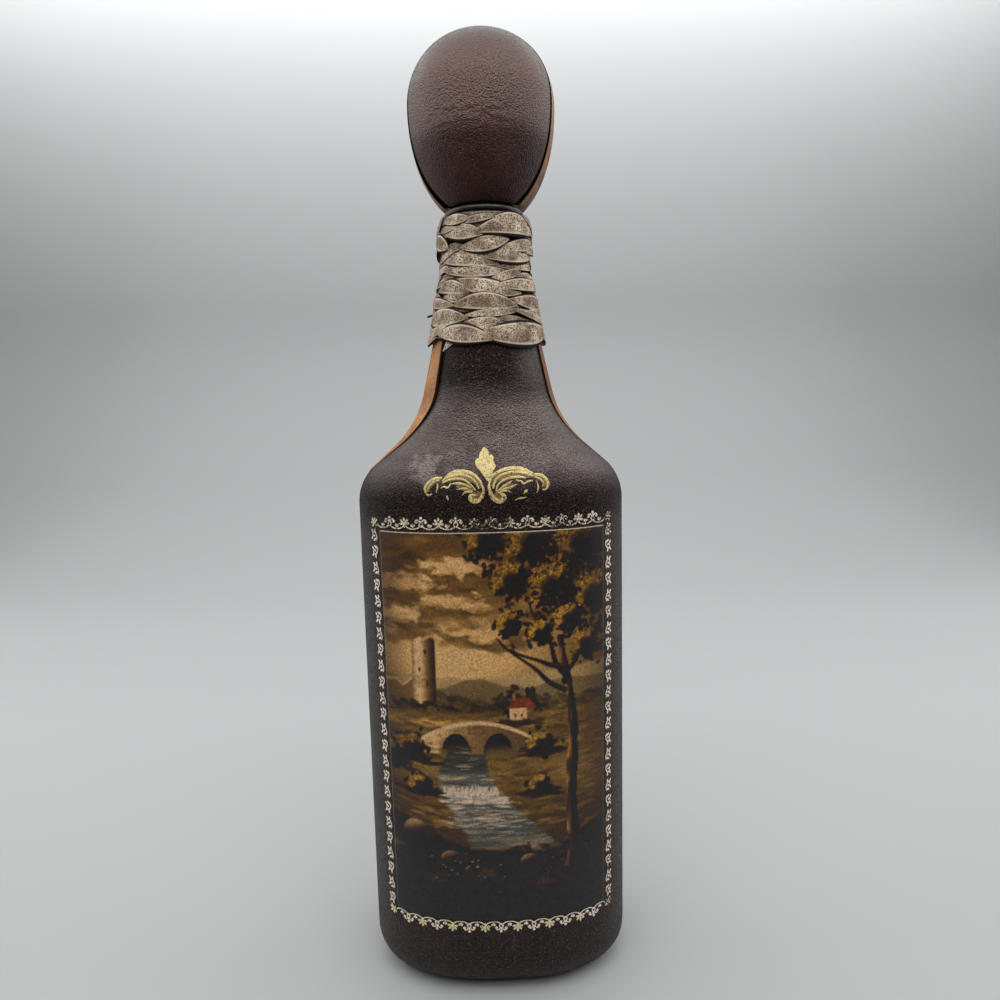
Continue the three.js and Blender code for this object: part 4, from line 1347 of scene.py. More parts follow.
# A curled spray with four leaves, for the upright sides, where each second one is turned over.
def spray(side):
    curl = [(-2.0, 0.7), (-0.9, 0.35), (0.4, 0.8), (0.95, 1.7), (0.35, 2.5), (-0.5, 2.2), (-0.4, 1.5)]
    leaves = (
        [(-1.1, 0.6), (-1.9, 2.1)], [(0.8, 1.4), (2.2, 1.2)],
        [(0.7, 2.1), (1.7, 3.1)], [(-0.6, 2.3), (-1.5, 3.1)],
    )
    turned = [(x * side, y) for x, y in curl]
    shapes = [stroke(turned, [0.35, 0.55, 0.5, 0.4], 16), disc(-0.3 * side, 1.6, 0.42)]
    for leaf in leaves:
        shapes.append(stroke([(x * side, y) for x, y in leaf], [0.25, 0.85, 0.9, 0.25], 6))
    return joined(shapes)


# Distance round the section from the front's middle line to x, on the cover's face.
faceX = np.linspace(0, bottle["halfWidth"] + coverFace - 0.01, 4000)
faceShare = 1 - (faceX / (bottle["halfWidth"] + coverFace)) ** bottle["squareness"]
faceY = (bottle["halfDepth"] + coverFace) * faceShare ** (1 / bottle["squareness"])
faceRun = runAlong(np.stack([faceX, faceY], -1))


# Motif places round the picture in flat millimetres: along the section, height, turn and kind.
def borderPlaces(part):
    near, far = np.interp(picturePart["halfWidths"], faceX, faceRun) + part["gap"]
    low, high = picturePart["low"] - part["gap"], picturePart["high"] + part["gap"]
    corners = [(-near, low), (near, low), (far, high), (-far, high)]
    places = []
    for i, (x0, y0) in enumerate(corners):
        x1, y1 = corners[(i + 1) % 4]
        turn = i * math.pi / 2 + math.pi
        length = math.hypot(x1 - x0, y1 - y0)
        count = round(length / part["pitch"])
        places.append((x0, y0, turn - math.pi / 4, 0))
        for k in range(count):
            share = (k + 0.5) / count
            kind = 3 + k % 2 if i % 2 else 2
            places.append((x0 + (x1 - x0) * share, y0 + (y1 - y0) * share, turn, kind))
            if k and kind == 2:
                share = k / count
                places.append((x0 + (x1 - x0) * share, y0 + (y1 - y0) * share, turn, k % 2))
    return np.array(places)


def borderTree(kinds):
    tree, given = newTree("goldBorder", {"Turn Jitter": "NodeSocketFloat", "Seed": "NodeSocketInt"})
    turn = addNode(tree, "GeometryNodeInputNamedAttribute", {"Name": "turn"}).outputs["Attribute"]
    kind = addNode(tree, "GeometryNodeInputNamedAttribute", {"Name": "kind"}).outputs["Attribute"]
    high = given["Turn Jitter"]
    low = addNode(tree, "ShaderNodeMath", {0: high, 1: -1.0}, {"operation": "MULTIPLY"}).outputs[0]
    loose = addNode(tree, "FunctionNodeRandomValue", {2: low, 3: high, "Seed": given["Seed"]}).outputs[1]
    angle = addNode(tree, "ShaderNodeMath", {0: turn, 1: loose}).outputs[0]
    spin = addNode(tree, "ShaderNodeCombineXYZ", {"Z": angle}).outputs[0]
    rotation = addNode(tree, "FunctionNodeEulerToRotation", {0: spin}).outputs[0]
    everything = addNode(tree, "GeometryNodeJoinGeometry")
    for number, motif in enumerate(kinds):
        shape = addNode(tree, "GeometryNodeObjectInfo", {"Object": motif}).outputs["Geometry"]
        chosen = addNode(tree, "FunctionNodeCompare", {0: kind, 1: float(number), "Epsilon": 0.1}, {
            "data_type": "FLOAT", "operation": "EQUAL",
        }).outputs[0]
        placed = addNode(tree, "GeometryNodeInstanceOnPoints", {
            "Points": given["Geometry"], "Selection": chosen, "Instance": shape, "Rotation": rotation,
        }).outputs[0]
        tree.links.new(placed, everything.inputs[0])
    solid = addNode(tree, "GeometryNodeRealizeInstances", {"Geometry": everything.outputs[0]}).outputs[0]
    coated = addNode(tree, "GeometryNodeSetMaterial", {"Geometry": solid, "Material": goldFoil}).outputs[0]
    addNode(tree, "NodeGroupOutput", {0: coated})
    return tree


def makeBorder(part):
    motifs = []
    kinds = {
        "palmette": palmette(), "fleur": fleur(), "festoon": festoon(),
        "spray": spray(1), "sprayBack": spray(-1),
    }
    for label, shape in kinds.items():
        motif = bpy.data.objects.new(label, meshFrom(label, *shape))
        bpy.context.scene.collection.objects.link(motif)
        motifs.append(motif)
    places = borderPlaces(part)
    spots = meshFrom("borderPlaces", np.insert(places[:, :2], 2, 0, axis=1), [])
    addValues(spots, "turn", places[:, 2])
    addValues(spots, "kind", places[:, 3])
    flat = runTree(borderTree(motifs), spots, {"Turn Jitter": part["turnJitter"], "Seed": part["seed"]})
    for motif in motifs:
        bpy.data.objects.remove(motif)
    along, height, relief = (pointsOf(flat) / mm).T
    x = np.sign(along) * np.interp(np.abs(along), faceRun, faceX)
    points = onFrontCover(x, height, part["rise"] + relief)
    flat.vertices.foreach_set("co", (points * mm).astype(np.float32).ravel())
    flat.update()
    rubbed = {
        "corner": np.exp(-(((x - 38) / 5) ** 2 + ((height - 23) / 6) ** 2)),
        "patches": softPatches(points + 5, 9.0),
        "top": smoothBetween(height, 150, 158),
        "bottom": 1 - smoothBetween(height, 26, 30),
    }
    addValues(flat, "wear", sum(part["wear"][label] * share for label, share in rubbed.items()))
    # The palmettes keep the most gold
    kind = np.zeros(len(x), np.float32)
    flat.attributes["kind"].data.foreach_get("value", kind)
    pale = np.where(kind < 0.5, 0.4 + 0.3 * rubbed["top"], 0.95)
    addValues(flat, "pale", pale * (0.75 + 0.25 * softNoise(points + 31, 7.0)))
    flat.name = part["name"]
    return placePiece(part, flat, goldFoil)


makeBorder(borderPart)

# Acanthus crest above the picture: a leaf between two scrolls. Lines are x and height in millimetres, with
# the ribbon's widths along each.
crestPart = {
    "name": "goldCrest", "body": "bottle", "rise": 0.07, "lineGain": 1.12, "ridge": 0.14, "fillDrop": 0.05,
    "leafMiddle": (-1.5, 177.6, 0.3),
    "leaf": [
        (-1.77, 183.0), (-0.86, 182.4), (-0.26, 181.2), (-0.41, 180.5), (0.65, 180.65), (1.2, 179.7),
        (0.87, 178.75), (1.29, 178.5), (1.78, 177.0), (0.96, 175.85), (0.35, 174.1), (-0.1, 172.9),
        (-0.56, 172.35), (-1.16, 172.9), (-2.07, 174.2), (-3.13, 175.85), (-4.35, 177.2), (-4.65, 178.4),
        (-4.35, 179.55), (-3.44, 179.55), (-3.29, 180.15), (-3.13, 181.2), (-2.53, 181.95), (-2.22, 182.65),
    ],
    "fills": [
        ([(0.3, 171.2), (1.6, 173.2), (3.6, 174.5), (6.5, 174.9), (9.5, 174.6), (12.6, 173.9)],
         [0.8, 2.2, 3.2, 3.4, 2.9, 1.2]),
        ([(13.4, 173.8), (15.6, 173.2), (16.9, 171.8), (16.9, 170.2)], [1.0, 1.9, 1.9, 1.0]),
        ([(2.4, 169.3), (4.4, 170.4), (6.9, 171.5)], [0.6, 2.4, 0.8]),
        ([(-2.9, 170.8), (-4.4, 172.9), (-6.6, 174.2), (-9.2, 174.6), (-11.6, 174.3), (-14.4, 173.1)],
         [0.8, 2.2, 3.2, 3.2, 2.7, 1.2]),
        ([(-15.2, 173.4), (-17.4, 172.9), (-19.2, 171.3), (-19.4, 169.6)], [0.8, 1.7, 1.7, 1.0]),
        ([(-5.4, 169.6), (-7.6, 170.6), (-10.6, 171.3)], [0.6, 2.4, 0.6]),
    ],
    "volutes": [(2.5, 167.8, 1.7), (-4.3, 168.0, 1.7)],
    "lines": [
        ([(-0.35, 172.0), (0.36, 173.88), (1.77, 174.98), (4.01, 175.94), (6.8, 176.4), (9.29, 176.16),
          (11.36, 175.39), (13.0, 174.45)], [0.5, 0.7, 1.0, 1.1, 0.8]),
        ([(0.71, 170.35), (1.37, 172.5), (2.85, 174.09), (5.09, 174.94), (7.87, 175.24), (10.63, 174.77),
          (13.11, 173.77)], [0.5, 0.6, 0.75, 0.7, 0.5]),
        ([(1.62, 169.51), (2.28, 171.4), (3.92, 172.71), (6.15, 173.46), (8.65, 173.7), (10.86, 173.31)],
         [0.4, 0.5, 0.65, 0.7, 0.4]),
        ([(13.13, 174.25), (15.65, 173.99), (17.29, 172.65), (17.86, 171.13), (17.19, 169.74),
          (16.05, 169.43)], [0.7, 0.8, 0.75, 0.6, 0.4]),
        ([(13.66, 173.48), (15.32, 172.87), (16.26, 171.47), (15.94, 170.26)], [0.4, 0.5, 0.45, 0.2]),
        ([(14.18, 172.37), (14.73, 170.45), (14.29, 168.66)], [0.3, 0.45, 0.15]),
        ([(1.89, 169.23), (3.58, 170.68), (5.26, 171.59), (6.68, 172.63)], [0.3, 0.5, 0.75, 0.2]),
        ([(2.16, 169.08), (4.12, 170.12), (6.34, 170.6), (8.03, 171.5)], [0.3, 0.5, 0.7, 0.2]),
        ([(2.3, 168.89), (4.38, 169.57), (6.44, 169.05)], [0.3, 0.6, 0.15]),
        ([(7.79, 172.73), (9.44, 172.27), (10.25, 171.57), (11.66, 172.2), (13.06, 172.42)],
         [0.3, 0.55, 0.5, 0.5, 0.3]),
        ([(-0.35, 172.0), (-0.5, 170.51), (0.01, 168.73), (1.07, 167.06), (2.65, 166.41), (4.05, 167.2),
          (3.85, 168.22), (2.84, 168.38)], [0.6, 0.9, 1.3, 1.4, 1.2, 0.7]),
        ([(-2.35, 170.42), (-3.2, 172.56), (-4.87, 174.48), (-7.06, 175.49), (-9.56, 175.7), (-11.51, 175.35),
          (-13.19, 174.45), (-14.83, 172.85)], [0.5, 0.7, 1.0, 1.2, 0.9, 0.4]),
        ([(-3.59, 170.31), (-4.91, 172.87), (-7.09, 174.26), (-9.29, 174.83), (-11.52, 174.38),
          (-14.04, 173.54)], [0.4, 0.6, 0.75, 0.75, 0.4]),
        ([(-4.7, 169.88), (-6.31, 171.81), (-8.21, 173.2), (-10.42, 173.56), (-12.65, 173.26),
          (-14.79, 172.39)], [0.35, 0.5, 0.65, 0.6, 0.4]),
        ([(-14.82, 173.87), (-16.98, 173.75), (-18.97, 172.59), (-20.33, 170.96), (-20.18, 169.38),
          (-19.18, 168.56), (-18.16, 169.05)], [0.5, 0.75, 0.7, 0.6, 0.55, 0.3]),
        ([(-15.72, 173.29), (-17.7, 172.54), (-19.13, 171.18), (-19.67, 169.76)], [0.3, 0.45, 0.4, 0.15]),
        ([(-16.52, 172.26), (-16.43, 170.9), (-16.92, 169.38)], [0.3, 0.5, 0.15]),
        ([(-5.38, 170.22), (-7.56, 171.56), (-9.9, 172.14), (-11.98, 172.01)], [0.3, 0.55, 0.7, 0.2]),
        ([(-5.59, 169.62), (-8.0, 170.54), (-10.49, 170.25)], [0.3, 0.6, 0.15]),
        ([(-5.76, 169.35), (-7.61, 169.44), (-8.99, 168.48)], [0.3, 0.6, 0.15]),
        ([(-12.11, 172.23), (-13.25, 170.88), (-14.36, 171.16), (-15.43, 170.74)], [0.3, 0.5, 0.45, 0.2]),
        ([(-2.34, 170.83), (-2.29, 169.33), (-2.94, 167.7), (-4.4, 166.64), (-5.83, 166.83), (-6.35, 167.91),
          (-5.62, 168.47), (-4.75, 168.15)], [0.6, 0.9, 1.3, 1.4, 1.1, 0.6]),
        ([(-13.59, 168.43), (-13.21, 167.05)], [0.25, 0.6, 0.25]),
        ([(10.16, 168.43), (11.36, 169.76)], [0.3, 0.9, 0.3]),
        ([(7.35, 166.6), (9.02, 167.1), (11.25, 167.29)], [0.15, 0.5, 0.15]),
    ],
}


def makeCrest(part):
    leaf = np.array(part["leaf"])
    ring = np.insert(leaf, 2, 0, axis=1)
    middle = np.array([part["leafMiddle"]])
    halfway = ring * 0.5 + middle * 0.5
    count = len(leaf)
    faces = [(i, (i + 1) % count, count + (i + 1) % count, count + i) for i in range(count)]
    faces += [(count + i, count + (i + 1) % count, 2 * count) for i in range(count)]
    shapes = [(np.concatenate([ring, halfway, middle]), [face[::-1] for face in faces])]
    for line, widths in part["lines"]:
        shapes.append(ribbon(line, np.array(widths) * part["lineGain"], 6 * len(line), part["ridge"]))
    bright = sum(len(points) for points, _ in shapes)
    for line, widths in part["fills"]:
        shapes.append(ribbon(line, widths, 5 * len(line), 0.0))
    for x, height, radius in part["volutes"]:
        shapes.append(disc(x, height, radius, 18, 0.1))
    flat, faces = joined(shapes)
    brown = np.arange(len(flat)) >= bright
    points = onFrontCover(flat[:, 0], flat[:, 1], part["rise"] + flat[:, 2] - part["fillDrop"] * brown)
    mesh = meshFrom(part["name"], points, faces)
    addValues(mesh, "wear", np.where(brown, 0.1, 0.05 + 0.05 * smoothBetween(172 - flat[:, 1], 0, 5)))
    addValues(mesh, "brown", np.where(brown, 0.95, 0.26 + 0.25 * softNoise(points, 2.0)))
    return placePiece(part, mesh, goldFoil)


makeCrest(crestPart)
print("gold: border and crest")


# Neck plait: a thong wound round the neck, and on it the lens-shaped reaches of its strands, where they
# come to the top of the weave. Each reach has an angle from the front and a height at both tips, how far it
# swells above and below the line between them, and how high it lies. The back has the same weave.
plaitPart = {
    "name": "neckPlait", "body": "bottle", "nodes": ["neck_plait"], "slot": "plait_leather",
    "firstHeight": neckFootHeight + 14.7 + 3.85, "pitch": 8.3, "climb": 0.25, "turns": 4.75,
    "middle": (0.7, 0.95, 1.7), "strandWidth": 5.5, "strandThickness": 1.0, "step": 1.5,
    "thong": {"startRise": 1.2, "share": 0.82, "sink": 0.6, "dark": 0.5},
    "lipStrand": {"drop": 1.6, "width": 3.0, "sink": 0.35, "dark": 0.6},
    "reach": {"overlap": 1.12, "margin": 0.6, "stand": 0.5, "levelRise": 0.22, "tipSink": 0.45},
    "reaches": [
        (-58, 259.2, -84, 253.6, 0.9, 0.9, 0), (-56, 257.1, -17, 257.0, 1.6, 1.6, 1),
        (-32, 255.9, 18, 257.8, 0.9, 1.2, 0), (11, 256.7, 65, 256.2, 2.4, 1.6, 1),
        (54, 258.8, 98, 255.6, 1.1, 1.1, 0), (-60, 254.0, -30, 255.6, 0.9, 0.9, 1),
        (-53, 253.2, -2, 251.8, 3.2, 2.0, 2), (-11, 252.3, 76, 253.3, 4.9, 0.8, 2),
        (31, 255.0, 100, 254.0, 1.4, 1.0, 1), (-86, 253.4, -48, 248.6, 2.6, 2.2, 3),
        (-49, 249.7, -26, 249.1, 0.5, 2.0, 0), (-29, 248.1, 29, 250.5, 2.0, 2.9, 2),
        (16, 247.3, 94, 251.5, 2.0, 1.8, 1), (55, 247.4, 104, 250.6, 1.4, 1.4, 3),
        (-62, 245.0, 15, 242.6, 3.7, 1.6, 2), (-3, 245.0, 76, 246.6, 3.3, 2.5, 2),
        (-74, 245.0, -31, 248.7, 1.0, 1.0, 1), (-59, 242.1, 27, 240.4, 1.3, 2.5, 2),
        (12, 241.8, 94, 243.4, 0.9, 0.9, 1), (-94, 241.6, -40, 243.2, 0.9, 0.9, 1),
        (4, 237.6, 48, 241.5, 1.1, 1.6, 1), (38, 239.2, 84, 237.2, 2.3, 0.9, 2),
        (-38, 238.3, 40, 233.9, 1.8, 3.5, 2), (8, 235.6, 92, 237.0, 2.3, 1.5, 3),
        (-66, 235.4, -19, 233.7, 3.9, 0.5, 2), (-80, 237.4, -40, 239.3, 0.9, 0.9, 1),
        (-53, 234.2, -19, 233.4, 0.3, 2.6, 1), (-35, 229.9, 33, 229.4, 4.0, 1.5, 2),
        (27, 231.6, 96, 232.4, 1.6, 3.1, 2), (-96, 233.0, -35, 230.1, 1.9, 1.4, 3),
        (-82, 226.2, -20, 225.7, 3.7, 2.3, 2), (-22, 226.7, 36, 228.3, 0.9, 1.4, 1),
        (27, 228.5, 86, 224.7, 1.0, 1.0, 2), (43, 227.9, 92, 226.7, 1.6, 1.2, 1),
        (-24, 224.1, 13, 225.1, 1.1, 2.2, 1), (-9, 221.6, 13, 223.3, 1.0, 1.4, 1),
        (-53, 221.3, 5, 218.7, 3.8, 2.0, 2), (-9, 221.1, 85, 223.0, 2.4, 5.2, 2),
        (26, 223.3, 47, 222.9, 0.9, 0.9, 3), (-90, 220.6, -37, 223.3, 1.6, 1.0, 1),
        (10, 225.6, 44, 225.0, 0.8, 0.8, 0), (66, 257.6, 112, 254.2, 1.6, 1.6, 1),
        (68, 249.0, 116, 253.2, 1.8, 1.8, 1), (70, 246.4, 112, 243.6, 1.7, 1.7, 0),
        (68, 238.4, 114, 241.4, 1.7, 1.7, 1), (66, 236.0, 118, 233.4, 1.8, 1.8, 0),
        (70, 227.8, 112, 231.0, 1.8, 1.8, 1), (64, 225.0, 118, 222.2, 2.0, 2.0, 1),
        (74, 220.2, 122, 220.6, 1.6, 1.6, 1),
    ],
}


def plaitSeatAt(height):
    ground = np.maximum(neckRadiusAt(height) + coverFace, bottle["neckTop"] + bottle["lipBulge"])
    return ground + bottle["glueLine"]


# Sweeps a strand's section along each path, flat side outward, as broad as the path says.
def strandTree(material):
    tree, given = newTree("plaitStrand", {"Width": "NodeSocketFloat", "Thickness": "NodeSocketFloat"})
    normal = addNode(tree, "GeometryNodeInputNamedAttribute", {"Name": "outward"}, {
        "data_type": "FLOAT_VECTOR",
    })
    breadth = addNode(tree, "GeometryNodeInputNamedAttribute", {"Name": "breadth"}).outputs["Attribute"]
    path = addNode(tree, "GeometryNodeMeshToCurve", {0: given["Geometry"]}).outputs[0]
    path = addNode(tree, "GeometryNodeSetCurveNormal", {
        "Curve": path, "Normal": normal.outputs["Attribute"],
    }, {"mode": "FREE"}).outputs[0]
    section = addNode(tree, "GeometryNodeCurvePrimitiveCircle", {
        "Resolution": 30, "Radius": 1.0,
    }).outputs[0]
    spot = addNode(tree, "GeometryNodeInputPosition").outputs[0]
    parts = addNode(tree, "ShaderNodeSeparateXYZ", {0: spot}).outputs
    shaped = {}
    for axis, power, size in ((0, 1.15, given["Thickness"]), (1, 0.8, given["Width"])):
        bare = addNode(tree, "ShaderNodeMath", {0: parts[axis]}, {"operation": "ABSOLUTE"}).outputs[0]
        full = addNode(tree, "ShaderNodeMath", {0: bare, 1: power}, {"operation": "POWER"}).outputs[0]
        sign = addNode(tree, "ShaderNodeMath", {0: parts[axis]}, {"operation": "SIGN"}).outputs[0]
        half = addNode(tree, "ShaderNodeMath", {0: size, 1: 0.5}, {"operation": "MULTIPLY"}).outputs[0]
        signed = addNode(tree, "ShaderNodeMath", {0: full, 1: sign}, {"operation": "MULTIPLY"}).outputs[0]
        shaped[axis] = addNode(tree, "ShaderNodeMath", {
            0: signed, 1: half,
        }, {"operation": "MULTIPLY"}).outputs[0]
        if axis == 1:
            section = addNode(tree, "GeometryNodeStoreNamedAttribute", {
                "Geometry": section, "Name": "across", "Value": full,
            }, {"data_type": "FLOAT", "domain": "POINT"}).outputs[0]
    moved = addNode(tree, "ShaderNodeCombineXYZ", {"X": shaped[0], "Y": shaped[1]}).outputs[0]
    section = addNode(tree, "GeometryNodeSetPosition", {"Geometry": section, "Position": moved}).outputs[0]
    swept = addNode(tree, "GeometryNodeCurveToMesh", {
        "Curve": path, "Profile Curve": section, "Scale": breadth, "Fill Caps": True,
    }).outputs[0]
    solid = addNode(tree, "GeometryNodeRealizeInstances", {"Geometry": swept}).outputs[0]
    coated = addNode(tree, "GeometryNodeSetMaterial", {"Geometry": solid, "Material": material}).outputs[0]
    addNode(tree, "NodeGroupOutput", {0: coated})
    return tree


# How far the middle of the weave stands off its seat: most at the top, where it goes over the lip.
def plaitMiddleAt(height):
    spots = plaitPart["firstHeight"] + np.array([0, 1.5, 4]) * plaitPart["pitch"]
    return np.interp(height, spots, plaitPart["middle"])


# A path on the neck from angles and heights, with a breadth and a painted shade along it.
def neckPath(angle, height, radius, breadth, sunk):
    points = aroundAxis(radius, angle, height) + upwards
    forward = unit(np.gradient(points, axis=0))
    outward = aroundAxis(1, angle, 0.15)
    outward = unit(outward - forward * np.sum(outward * forward, axis=1, keepdims=True))
    return points, outward, breadth, sunk + 0 * angle


# The wound thong under the weave, level at the front and climbing at the back, painted darker as shade under
# the weave.
def thongPath(part):
    thong = part["thong"]
    turn = np.linspace(0, part["turns"], 8000)
    level = 1 - part["climb"]
    climbed = np.floor(turn) + smoothBetween(turn % 1, level, 1.0)
    angle = -math.pi / 2 - level * math.pi + 2 * math.pi * turn
    height = part["firstHeight"] + climbed * part["pitch"]
    height = height + thong["startRise"] * (1 - smoothBetween(turn, 0.8, 1.8))
    run = runAlong(aroundAxis(plaitSeatAt(height), angle, height))
    along = np.arange(0, run[-1], part["step"])
    angle, height = np.interp(along, run, angle), np.interp(along, run, height)
    breadth = np.full_like(along, thong["share"] * part["pitch"] / part["strandWidth"])
    radius = plaitSeatAt(height) + plaitMiddleAt(height) - thong["sink"]
    return neckPath(angle, height, radius, breadth, thong["dark"])


# A thin strand covers the lip under the collar, painted darker as shade under the collar.
def lipPath(part):
    strand = part["lipStrand"]
    angle = np.linspace(0, 2 * math.pi, 90)
    height = np.full_like(angle, bottleHeight - strand["drop"])
    radius = plaitSeatAt(height) + plaitMiddleAt(height) - strand["sink"]
    breadth = np.full_like(angle, strand["width"] / part["strandWidth"])
    return neckPath(angle, height, radius, breadth, strand["dark"])


# The reaches run on a little past their tips, where they dive under their neighbours.
def reachPaths(part):
    reach = part["reach"]
    spread = np.linspace(0, 1, 28)
    share = -0.03 + 1.06 * spread
    full = np.sin(math.pi * spread) ** 0.85
    paths = []
    for side in (0, 180):
        for first, low, last, high, above, below, level in part["reaches"]:
            angle = np.radians(first + (last - first) * share + side - 90)
            height = low + (high - low) * share + full * (above - below) / 2 - bottle["lift"]
            width = reach["overlap"] * (above + below) + reach["margin"]
            breadth = width / part["strandWidth"] * full + 0.03
            stand = reach["levelRise"] * level + reach["stand"]
            stand = stand - part["strandThickness"] * breadth / 2 - reach["tipSink"] * (1 - full)
            radius = plaitSeatAt(height) + plaitMiddleAt(height) + stand
            # Painted shade on the lowest reaches and at the tips, where they dive under their neighbours
            sunk = 0.35 * (level == 0) + 0.3 * (1 - full)
            paths.append(neckPath(angle, height, radius, breadth, sunk))
    return paths


def strandMesh(name, paths, tree, part):
    points = np.concatenate([path[0] for path in paths])
    edges, base = [], 0
    for path in paths:
        edges += [(base + i, base + i + 1) for i in range(len(path[0]) - 1)]
        base += len(path[0])
    line = meshFrom(name, points, [], edges)
    addValues(line, "breadth", np.concatenate([path[2] for path in paths]))
    addValues(line, "sunk", np.concatenate([path[3] for path in paths]))
    outward = np.concatenate([path[1] for path in paths]).astype(np.float32)
    line.attributes.new("outward", "FLOAT_VECTOR", "POINT").data.foreach_set("vector", outward.ravel())
    made = runTree(tree, line, {
        "Width": part["strandWidth"] * mm, "Thickness": part["strandThickness"] * mm,
    })
    made.shade_smooth()
    made.name = name
    return made


plaitTree = strandTree(plaitLeather)
plaitPaths = [thongPath(plaitPart), lipPath(plaitPart), *reachPaths(plaitPart)]
plaitMesh = strandMesh(plaitPart["name"], plaitPaths, plaitTree, plaitPart)
placePiece(plaitPart, plaitMesh, plaitLeather)

# The cut end of a strand hangs below the plait at the lower left, and a thread end stands out at the left.
strandEndPart = {
    "name": "plaitStrandEnd", "body": "bottle", "slot": "plait_leather",
    "strandWidth": 4.4, "strandThickness": 0.6, "stand": 0.45,
    "from": (-122.0, 218.6), "to": (-136.0, 213.6),  # degrees and height
}


def makeStrandEnd(part):
    share = np.linspace(0, 1, 16)
    degrees, height = np.linspace(part["from"], part["to"], len(share)).T
    angle = np.radians(degrees)
    points = aroundAxis(neckRadiusAt(height) + coverFace + part["stand"], angle, height) + upwards
    breadth = np.interp(share, [0, 0.35, 1], [1.0, 0.9, 0.1])
    path = (points, aroundAxis(1, angle, 0), breadth, np.full_like(share, 0.1))
    mesh = strandMesh(part["name"], [path], plaitTree, part)
    return placePiece(part, mesh, plaitLeather)


makeStrandEnd(strandEndPart)

threadPart = {
    "name": "threadEnd", "body": "bottle", "radius": 0.38, "height": 226.6, "angle": math.radians(186),
    "root": 0.9, "reach": 2.4, "droop": 0.7,
}


def makeThreadEnd(part):
    share = np.linspace(0, 1, 9)[:, None]
    turns = np.linspace(0, 2 * math.pi, 10, endpoint=False)[None]
    start = plaitSeatAt(part["height"]) + part["root"]
    thin = part["radius"] * np.where(share > 0.95, 0.5, 1.0)
    radius = start + part["reach"] * share + 0 * turns
    side = thin * np.cos(turns)
    height = part["height"] - part["droop"] * share + thin * np.sin(turns)
    cosine, sine = math.cos(part["angle"]), math.sin(part["angle"])
    rings = np.stack([radius * cosine - side * sine, radius * sine + side * cosine, height], -1) + upwards
    return placePiece(part, ringMesh(part["name"], rings), waxedThread)


makeThreadEnd(threadPart)
print("plait:", len(plaitPaths), "paths")


# Studio: a pale floor that sweeps up into a backdrop, and soft light mostly from above. The grey paper is
# painted darker on the camera's side, and a little darker again on the backdrop, as painted shade.
def paperMaterial():
    material, tree = newMaterial("paleGreyPaper")
    place = addNode(tree, "ShaderNodeTexCoord").outputs["Object"]
    along = addNode(tree, "ShaderNodeSeparateXYZ", {0: place}).outputs["Y"]
    colour = srgb("#6a6b6b")
    for near, far, tint in ((-0.55, -0.12, "#a8aaaa"), (0.2, 0.75, "#8c8e8e")):
        share = addNode(tree, "ShaderNodeMapRange", {
            "Value": along, "From Min": near, "From Max": far, "To Min": 0.0, "To Max": 1.0,
        }).outputs[0]
        colour = addNode(tree, "ShaderNodeMix", {
            0: share, 6: colour, 7: srgb(tint),
        }, {"data_type": "RGBA"}).outputs[2]
    surface = addNode(tree, "ShaderNodeBsdfPrincipled", {
        "Base Color": colour, "Roughness": 0.75, "Specular IOR Level": 0.3,
    }).outputs[0]
    addNode(tree, "ShaderNodeOutputMaterial", {"Surface": surface})
    return material


studioPart = {"half": 1800, "front": -1400, "flatTo": 300, "bendFrom": 500, "bend": 350, "top": 2200}


def makeStudio(part):
    profile = [(part["front"], 0), (part["flatTo"], 0)]
    for turn in np.linspace(0, math.pi / 2, 16):
        y, z = part["bend"] * math.sin(turn), part["bend"] * (1 - math.cos(turn))
        profile.append((part["bendFrom"] + y, z))
    profile.append((part["bendFrom"] + part["bend"], part["top"]))
    rows = np.array([[(-part["half"], y, z), (part["half"], y, z)] for y, z in profile])
    mesh = meshFrom("studioFloor", rows, gridFaces(len(rows), 2))
    floor = bpy.data.objects.new("studioFloor", mesh)
    bpy.context.scene.collection.objects.link(floor)
    mesh.materials.append(paperMaterial())


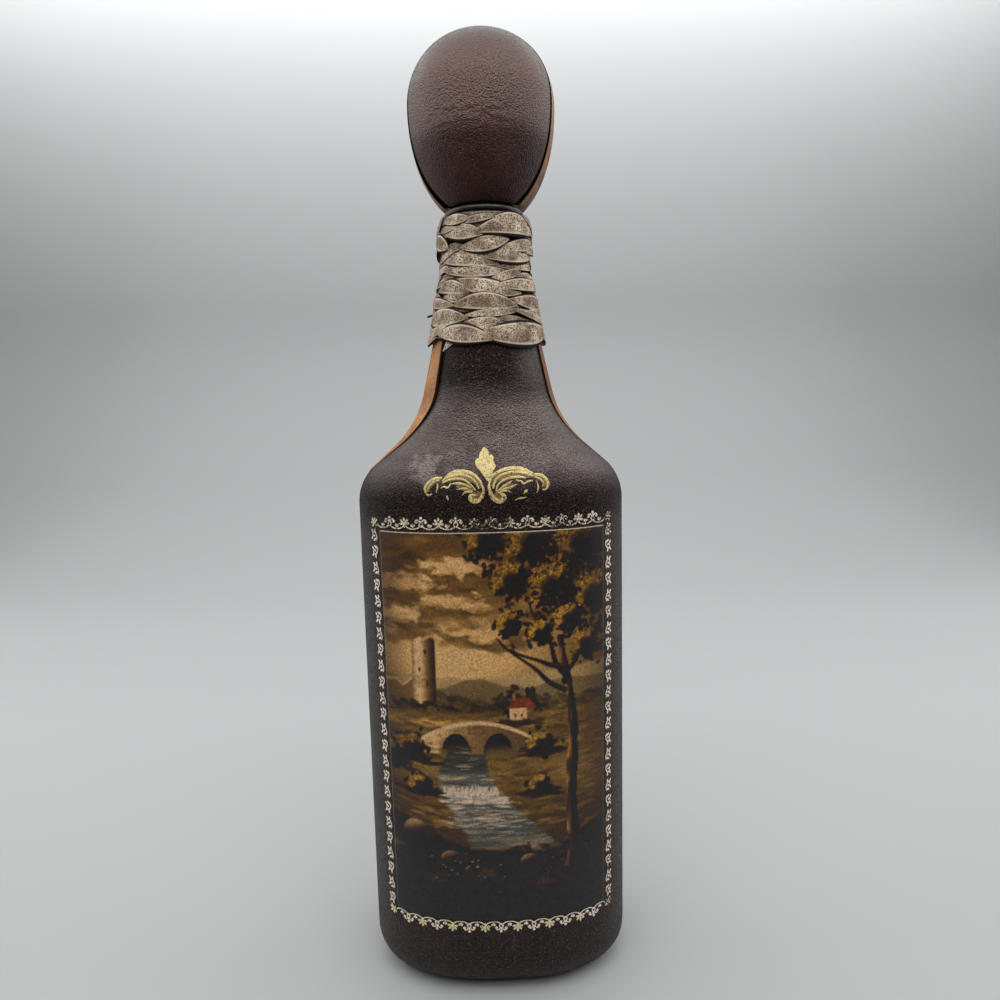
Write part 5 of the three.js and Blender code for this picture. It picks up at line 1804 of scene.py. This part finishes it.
def addLight(name, size, place, target, power):
    light = bpy.data.lights.new(name, "AREA")
    light.shape = "RECTANGLE"
    light.size, light.size_y = size
    light.energy = power
    lamp = bpy.data.objects.new(name, light)
    bpy.context.scene.collection.objects.link(lamp)
    facing = (Vector(place) - Vector(target)).to_track_quat("Z", "Y")
    lamp.matrix_world = Matrix.Translation(place) @ facing.to_matrix().to_4x4()


makeStudio(studioPart)
# Each lamp's size, its place, the point that it faces, and its power
lamps = {
    "overheadPanel": ((1.8, 0.87), (0.0, 0.015, 0.68), (0.0, 0.015, 0.0), 8.0),
    "frontSoftbox": ((0.9, 0.36), (0.0, -0.345, 0.52), (0.0, 0.0, 0.358), 2.0),
    "backdropWash": ((1.8, 0.25), (0.0, 0.58, 1.0), (0.0, 0.85, 0.84), 19.0),
    "leftCard": ((0.8, 0.6), (-0.7, 0.15, 0.36), (0.0, 0.0, 0.22), 1.5),
    "rightCard": ((0.8, 0.6), (0.7, 0.15, 0.36), (0.0, 0.0, 0.22), 1.5),
}
for label, lamp in lamps.items():
    addLight(label, *lamp)
world = bpy.data.worlds.new("studioAir")
world.use_nodes = True
air = world.node_tree.nodes["Background"].inputs
air["Color"].default_value = srgb("#e6e8e8")
air["Strength"].default_value = 0.1
bpy.context.scene.world = world

cameraPart = {
    "lens": 26.0, "sensor": 36.0, "clip": (0.01, 20.0), "place": (3.2, -252.0, 197.0),
    "pitch": math.radians(7.2), "roll": math.radians(-1.34), "yaw": math.radians(-0.8),
}
lensData = bpy.data.cameras.new("photoCamera")
lensData.lens = cameraPart["lens"]
lensData.sensor_width = cameraPart["sensor"]
lensData.clip_start, lensData.clip_end = cameraPart["clip"]
camera = bpy.data.objects.new("photoCamera", lensData)
bpy.context.scene.collection.objects.link(camera)
swing = Matrix.Rotation(cameraPart["yaw"], 4, "Z")
stand = Matrix.Translation([c * mm for c in cameraPart["place"]])
aim = Matrix.Rotation(math.pi / 2 - cameraPart["pitch"], 4, "X")
roll = Matrix.Rotation(cameraPart["roll"], 4, "Z")
camera.matrix_world = swing @ stand @ aim @ roll
bpy.context.scene.camera = camera
bpy.context.scene.view_settings.view_transform = "Standard"
print("studio: floor, lights and camera")
